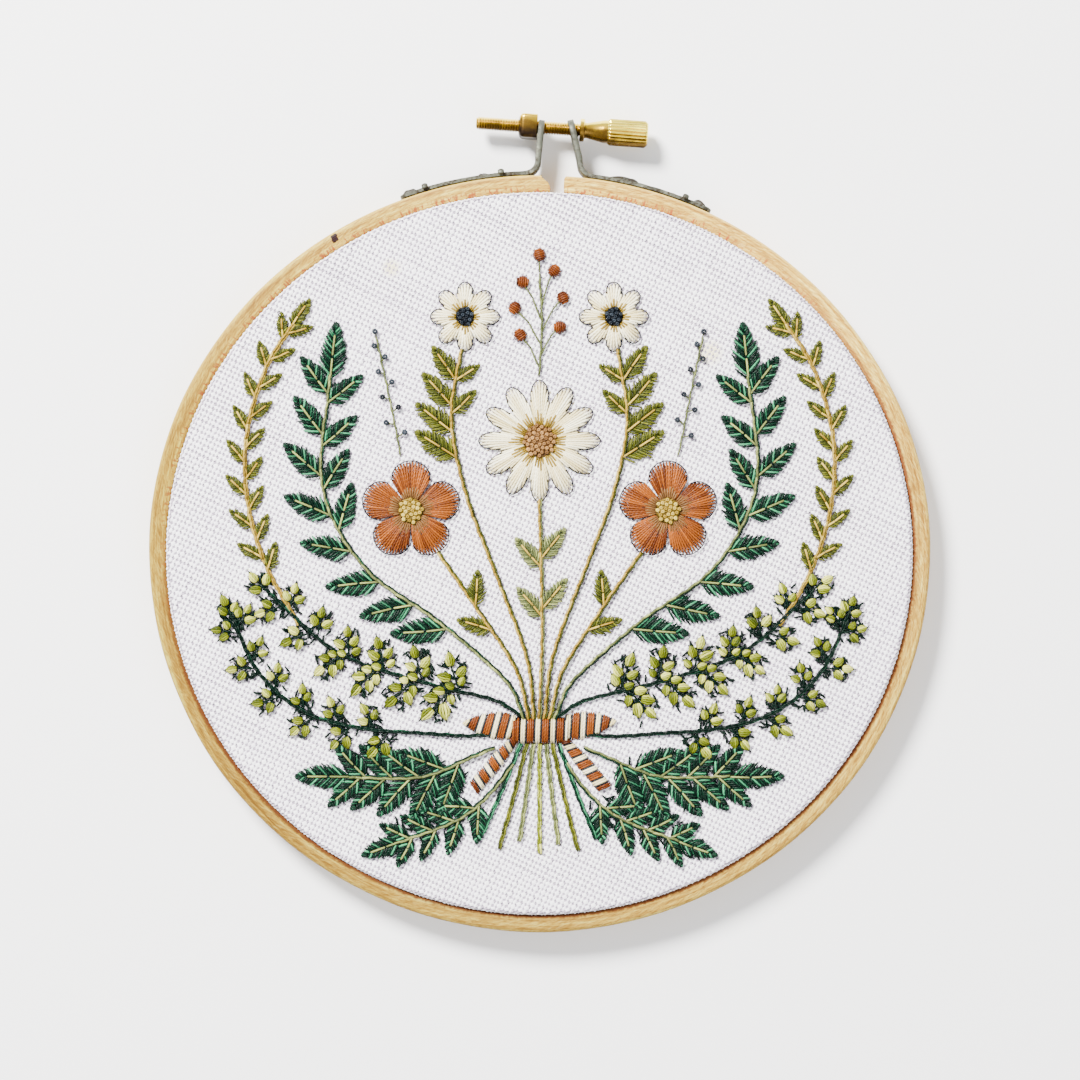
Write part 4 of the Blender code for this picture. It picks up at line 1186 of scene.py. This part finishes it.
def sprays():
    for side, mirror in (("left", 1), ("right", -1)):
        for name, rule in (LOWER_SPRIGS | SPRIGS).items():
            make = bud_spray if rule["floss"] == LIME else fern_spray
            make(f"{name}_{side}_sewn", rule, mirror, f"{name}_{side}" if name in SPRIGS else None)
        dot_stalk(side, mirror)
    fern_spray("middle_stem_sewn", MIDDLE_STEM, 1, "middle_stem")


# Flower heads: radius, petals, depth of the notches, floss, eye radius, eye floss
MIDDLE_DAISY = (12.0, 12, 0.48, "cream", 3.6, "tan")
SIDE_FLOWER = (9.8, 5, 0.34, "terracotta", 2.8, "gold")
SIDE_DAISY = (6.8, 8, 0.45, "cream", 2.1, "navy")
PETAL_GAP = 0.42  # between the threads of a petal, well out from the eye
PETAL_HALF = 0.46  # how far a petal reaches to each side, as a share of its part of the round
OUTLINE_GAP = 0.12  # from the petals to their outline


def flower(name, place, radius, petals, notch, floss_name, eye_radius, eye_floss):
    """Long and short stitches from the eye to each petal's rim, a darker ring of them, and outlines."""
    centre = spot(*place)
    per_petal = max(int(2 * math.pi * radius * 0.62 / petals / PETAL_GAP), 5)
    rows, shadows, edges = [], [], []
    daisy = floss_name == "cream"

    def rim(petal, q, more=0.0):
        """A place on a petal's rim, -1 to 1 across it, and its direction."""
        way = circle(math.pi / 2 + (petal + q * PETAL_HALF) * 2 * math.pi / petals)
        reach = 1 - notch * (1 - math.cos(math.pi * q / 2) ** 0.55)
        return centre + way * (radius * reach + more), way

    for petal in range(petals):
        for k, q in enumerate(even_shares(per_petal)):
            far, way = rim(petal, q)
            far = far + way * jitter(0.1)
            near = centre + way * eye_radius * 0.75
            lift = 0.16 + 0.18 * (1 - abs(q)) + jitter(0.02)
            tone = 0.60 - 0.14 * q + jitter(0.13)
            rows.append(stitch(near, far, THREAD, lift, tone, 0, tone + 0.15))
            if k % 2:
                part = near + (far - near) * (0.30 + 0.22 * random.random())
                shadows.append(stitch(near, part, THREAD * 0.8, lift + 0.14, 0.25 + jitter(0.1), 0, 0.5))
        marks = np.linspace(-0.98, 0.98, 9 if daisy else 13)
        edges += back_stitch([rim(petal, q, OUTLINE_GAP)[0] for q in marks])
        if not daisy:
            root = rim(petal, 0)[1] * eye_radius
            for q in (-0.5, 0.0, 0.5):
                far = rim(petal, q * 0.8, -radius * 0.22)[0]
                edges.append(stitch(centre + turned(root, q * 0.3), far, 0.2, 0.5, 0.35))
    sew(name + "_sewn", rows, floss_name, node=name)
    sew(name + "_shading", shadows, "gold" if daisy else "tan")
    sew(name + "_outline", edges, "navy")
    sew(name + "_eye_pad", disc(centre, eye_radius, 0.3, 0.15, 0.5), eye_floss)
    knots(name + "_knots", packed(centre, eye_radius - 0.4, 0.95), eye_floss, 0.95, 0.55, name + "_eye")


def packed(centre, radius, spacing):
    """Places spread evenly over a disc, in the order of a seed head."""
    count = max(int((radius / spacing * 2) ** 2 * 0.95), 1)
    golden = math.pi * (3 - math.sqrt(5))
    return [centre + radius * math.sqrt((k + 0.4) / count) * circle(k * golden) for k in range(count)]


def disc(centre, radius, angle, shade, pitch):
    """A padded satin disc."""
    way = circle(angle)
    rows = []
    for q in even_shares(int(radius * 2 / pitch)):
        half = way * radius * math.sqrt(1 - q * q * 0.9)
        middle = beside(centre, way, 0, q * radius * 0.9)
        rows.append(stitch(middle - half, middle + half, 0.5, 0.25 + 0.30 * (1 - q * q),
                           shade + 0.2 * q + jitter(0.08)))
    return rows


KNOT_STEPS, KNOT_SIDES, KNOT_TURNS = 15, 5, 1.9


def knots(name, places, finish, size, lift, node=None):
    """French knots: each a thread wound twice round itself and drawn down in its middle."""
    t = np.linspace(0, 1, KNOT_STEPS)
    turn = full_turn(KNOT_SIDES)
    radius = (size * (0.34 - 0.16 * t))[:, None]
    height = CLOTH_TOP + lift + size * (0.16 + 0.34 * t) * (1 - 0.5 * (t > 0.93))
    thick = (size * 0.21 * np.minimum(1, np.minimum(t, 1 - t) * 12 + 0.3))[:, None]
    level = height[:, None] + thick * np.sin(turn)
    length = (t * size * 5)[:, None]
    points, threads, tones = [], [], []
    for place in places:
        out = circle((random.random() + t * KNOT_TURNS) * 2 * math.pi)
        flat = (place + out * radius)[:, None] + out[:, None] * (thick * np.cos(turn))[..., None]
        points.append(np.concatenate([flat, level[..., None]], axis=-1))
        threads.append(np.stack(np.broadcast_arrays(length, np.cos(turn), random.random()), axis=-1))
        # painted shade: each knot's crest lighter and its flanks darker
        tones.append(0.5 + jitter(0.16) + PAINTED_CREST_SHADE * np.broadcast_to(np.sin(turn), level.shape))
    faces = flipped(tube_faces(KNOT_STEPS, KNOT_SIDES))
    floss_piece(name, np.array(points), faces, finish, np.array(threads), np.array(tones), node)


BERRY_ROUTE = ((0, 31.4), (0.4, 41), (0, 49))
BERRIES = ((-3.4, 38.8), (3.6, 40.2), (-4.4, 43.6), (4.2, 45.4), (-3.0, 48.2), (2.6, 50.2), (0, 53.0))
BERRY_R = 1.35


def berry_sprig():
    path = smooth_route(BERRY_ROUTE)
    twigs, berries = rope(path, shade=0.35), []
    for k, place in enumerate(BERRIES):
        berry = spot(*place)
        root, way = at_share(path, 0.08 + 0.12 * k)
        bend = (root + berry) / 2 + way
        for a, b in ((root, bend), (bend - (berry - bend) * 0.1, berry)):
            twigs.append(stitch(a, b, 0.4, 0.05, 0.4, 0.1))
        berries += disc(berry, BERRY_R, 0.6 + k, 0.5, 0.4)
    sew("berry_sprig_sewn", twigs, "sage", node="berry_sprig")
    sew("berries_sewn", berries, "terracotta")


STEM_END_TOP = -33.6
# Cut stems under the bow: x at their top, x and y of their end, floss
STEM_ENDS = (
    (-3.3, -10.5, -50.5, "emerald"), (-2.2, -7.2, -52.6, "olive"), (-1.1, -3.6, -51.2, "sage"),
    (0, 0, -53.4, "lime"), (1.1, 3.4, -51.8, "sage"), (2.2, 6.9, -53, "olive"), (3.3, 10.2, -51, "emerald"),
)


def stem_ends():
    for k, (top_x, x, y, name) in enumerate(STEM_ENDS, 1):
        middle = ((top_x + x) / 2 * 1.02, (STEM_END_TOP - 1.6 + y) / 2)
        path = smooth_route(((top_x, STEM_END_TOP), middle, (x, y)))
        rows = rope(path, shade=0.42, offset=-0.22) + rope(path, shade=0.6, offset=0.22)
        sew(f"stem_end_{k}_sewn", rows, name, node=f"stem_end_{k}")


TIE_Y = -31.4
TIE_HALF_WIDTH, TIE_HALF_HEIGHT = 4.9, 2.5
# A loop and a tail on each side: x and y of its foot, its direction in degrees, length and width
BOW_ENDS = ((3.2, -31.0, 6, 11.5, 5.6), (4.2, -32.8, -50, 13.0, 3.0))
RIBBON = ("terracotta",) * 3 + ("navy", "cream", "cream", "navy")  # its stripes, thread by thread
RIBBON_GAP, BAND_LEAN, LINE = 0.42, 0.2, 0.34  # between threads, of the band's threads, width of a dark one


def bow():
    """A striped ribbon: satin across the loops and tails, and upright threads at the band."""
    rows = {stripe: [] for stripe in RIBBON}

    def add(k, start, end, lift, shade):
        stripe = RIBBON[k % len(RIBBON)]
        rows[stripe].append(stitch(start, end, LINE if stripe == "navy" else THREAD, lift, shade))

    for sign in (1, -1):
        for loop, (x, y, degrees, length, width) in enumerate(BOW_ENDS):
            way = circle(math.radians(degrees)) * (sign, 1)
            foot, skew = spot(x * sign, y), way * 0.45
            for k, q in enumerate(even_shares(int(length / RIBBON_GAP))):
                share = (q + 1) / 2
                full = leaf_width(share * 0.96 + 0.03) if loop == 0 else min(1, 0.55 + share * 1.1)
                half = side_of(way) * (width / 2 * full * (1 + jitter(0.02))) + skew
                middle = foot + way * length * share
                shade = 0.42 + 0.3 * math.sin(share * 3.1) - 0.2 * (share < 0.2)
                add(k, middle - half, middle + half, 0.22 + jitter(0.02), shade + jitter(0.06))
    middle = spot(0, TIE_Y)[1]
    half_x, half_y = TIE_HALF_WIDTH * SPREAD, TIE_HALF_HEIGHT * SPREAD
    for k, q in enumerate(even_shares(int(half_x * 2 / RIBBON_GAP))):
        x, reach, lift = half_x * q, half_y * (1 - 0.12 * q * q), 0.55 + 0.2 * (1 - q * q)
        add(k, (x, middle - reach), (x + BAND_LEAN, middle + reach), lift, 0.55 + jitter(0.08))
    sew("bow_sewn", rows["terracotta"], "terracotta", node="bow")
    sew("bow_stripes", rows["cream"], "cream")
    sew("bow_lines", rows["navy"], "navy")


def embroidery():
    sprays()
    flower("daisy_middle", (0, 20), *MIDDLE_DAISY)
    for name, x, y, head in (("flower", 22.8, 7.6, SIDE_FLOWER), ("daisy", 13.2, 42, SIDE_DAISY)):
        flower(name + "_left", (-x, y), *head)
        flower(name + "_right", (x, y), *head)
    berry_sprig()
    stem_ends()
    bow()
    reverse_side()


# Stage

FLOOR_SIZE, FLOOR_DROP = 3.0, 0.0003
CAMERA_HEIGHT = 0.6
CAMERA_PLACE = (0.0001, -0.0036)
SENSOR = 36.0
VIEW_WIDTH = 0.2147  # what the picture spans at the height of the cloth
KEY_DIRECTION = Vector((math.cos(math.radians(126)), math.sin(math.radians(126)), 1.0))


def light(name, place, size, power, tint):
    """A round lamp that points at the middle of the hoop."""
    data = bpy.data.lights.new(name, "AREA")
    data.shape, data.size, data.energy, data.color = "DISK", size, power, tint
    lamp = new_object(name, data)
    lamp.location = place
    lamp.rotation_mode = "QUATERNION"
    lamp.rotation_quaternion = (-Vector(place)).to_track_quat("-Z", "Y")


def floor():
    mesh = bpy.data.meshes.new("floor")
    corners = [(x * FLOOR_SIZE, y * FLOOR_SIZE, -FLOOR_DROP) for x, y in ((-1, -1), (1, -1), (1, 1), (-1, 1))]
    mesh.from_pydata(corners, [], [(0, 1, 2, 3)])
    made, _, sockets = new_material("floor_pale", roughness=0.9, specular=0.1)
    sockets["Base Color"].default_value = (0.97, 0.97, 0.97, 1)
    mesh.materials.append(made)
    new_object("floor", mesh)


def camera():
    data = bpy.data.cameras.new("camera")
    data.sensor_width = SENSOR
    data.lens = SENSOR * CAMERA_HEIGHT / VIEW_WIDTH
    eye = new_object("camera", data)
    eye.location = (*CAMERA_PLACE, CAMERA_HEIGHT + CLOTH_TOP * MM)
    bpy.context.scene.camera = eye


def stage():
    floor()
    light("key", KEY_DIRECTION.normalized() * 1.2, 0.36, 75, (1.0, 0.985, 0.96))
    light("fill", (0.5, -0.7, 1.1), 1.2, 17, (0.96, 0.97, 1.0))
    world = bpy.data.worlds.new("world")
    world.use_nodes = True
    sky = world.node_tree.nodes["Background"].inputs
    sky["Color"].default_value = (0.96, 0.97, 1.0, 1)
    sky["Strength"].default_value = 0.76
    bpy.context.scene.world = world


LINEN = linen_thread()
BRASS = brass()
STEEL = steel()
rings()
cloth()
hardware()
embroidery()
stage()
camera()
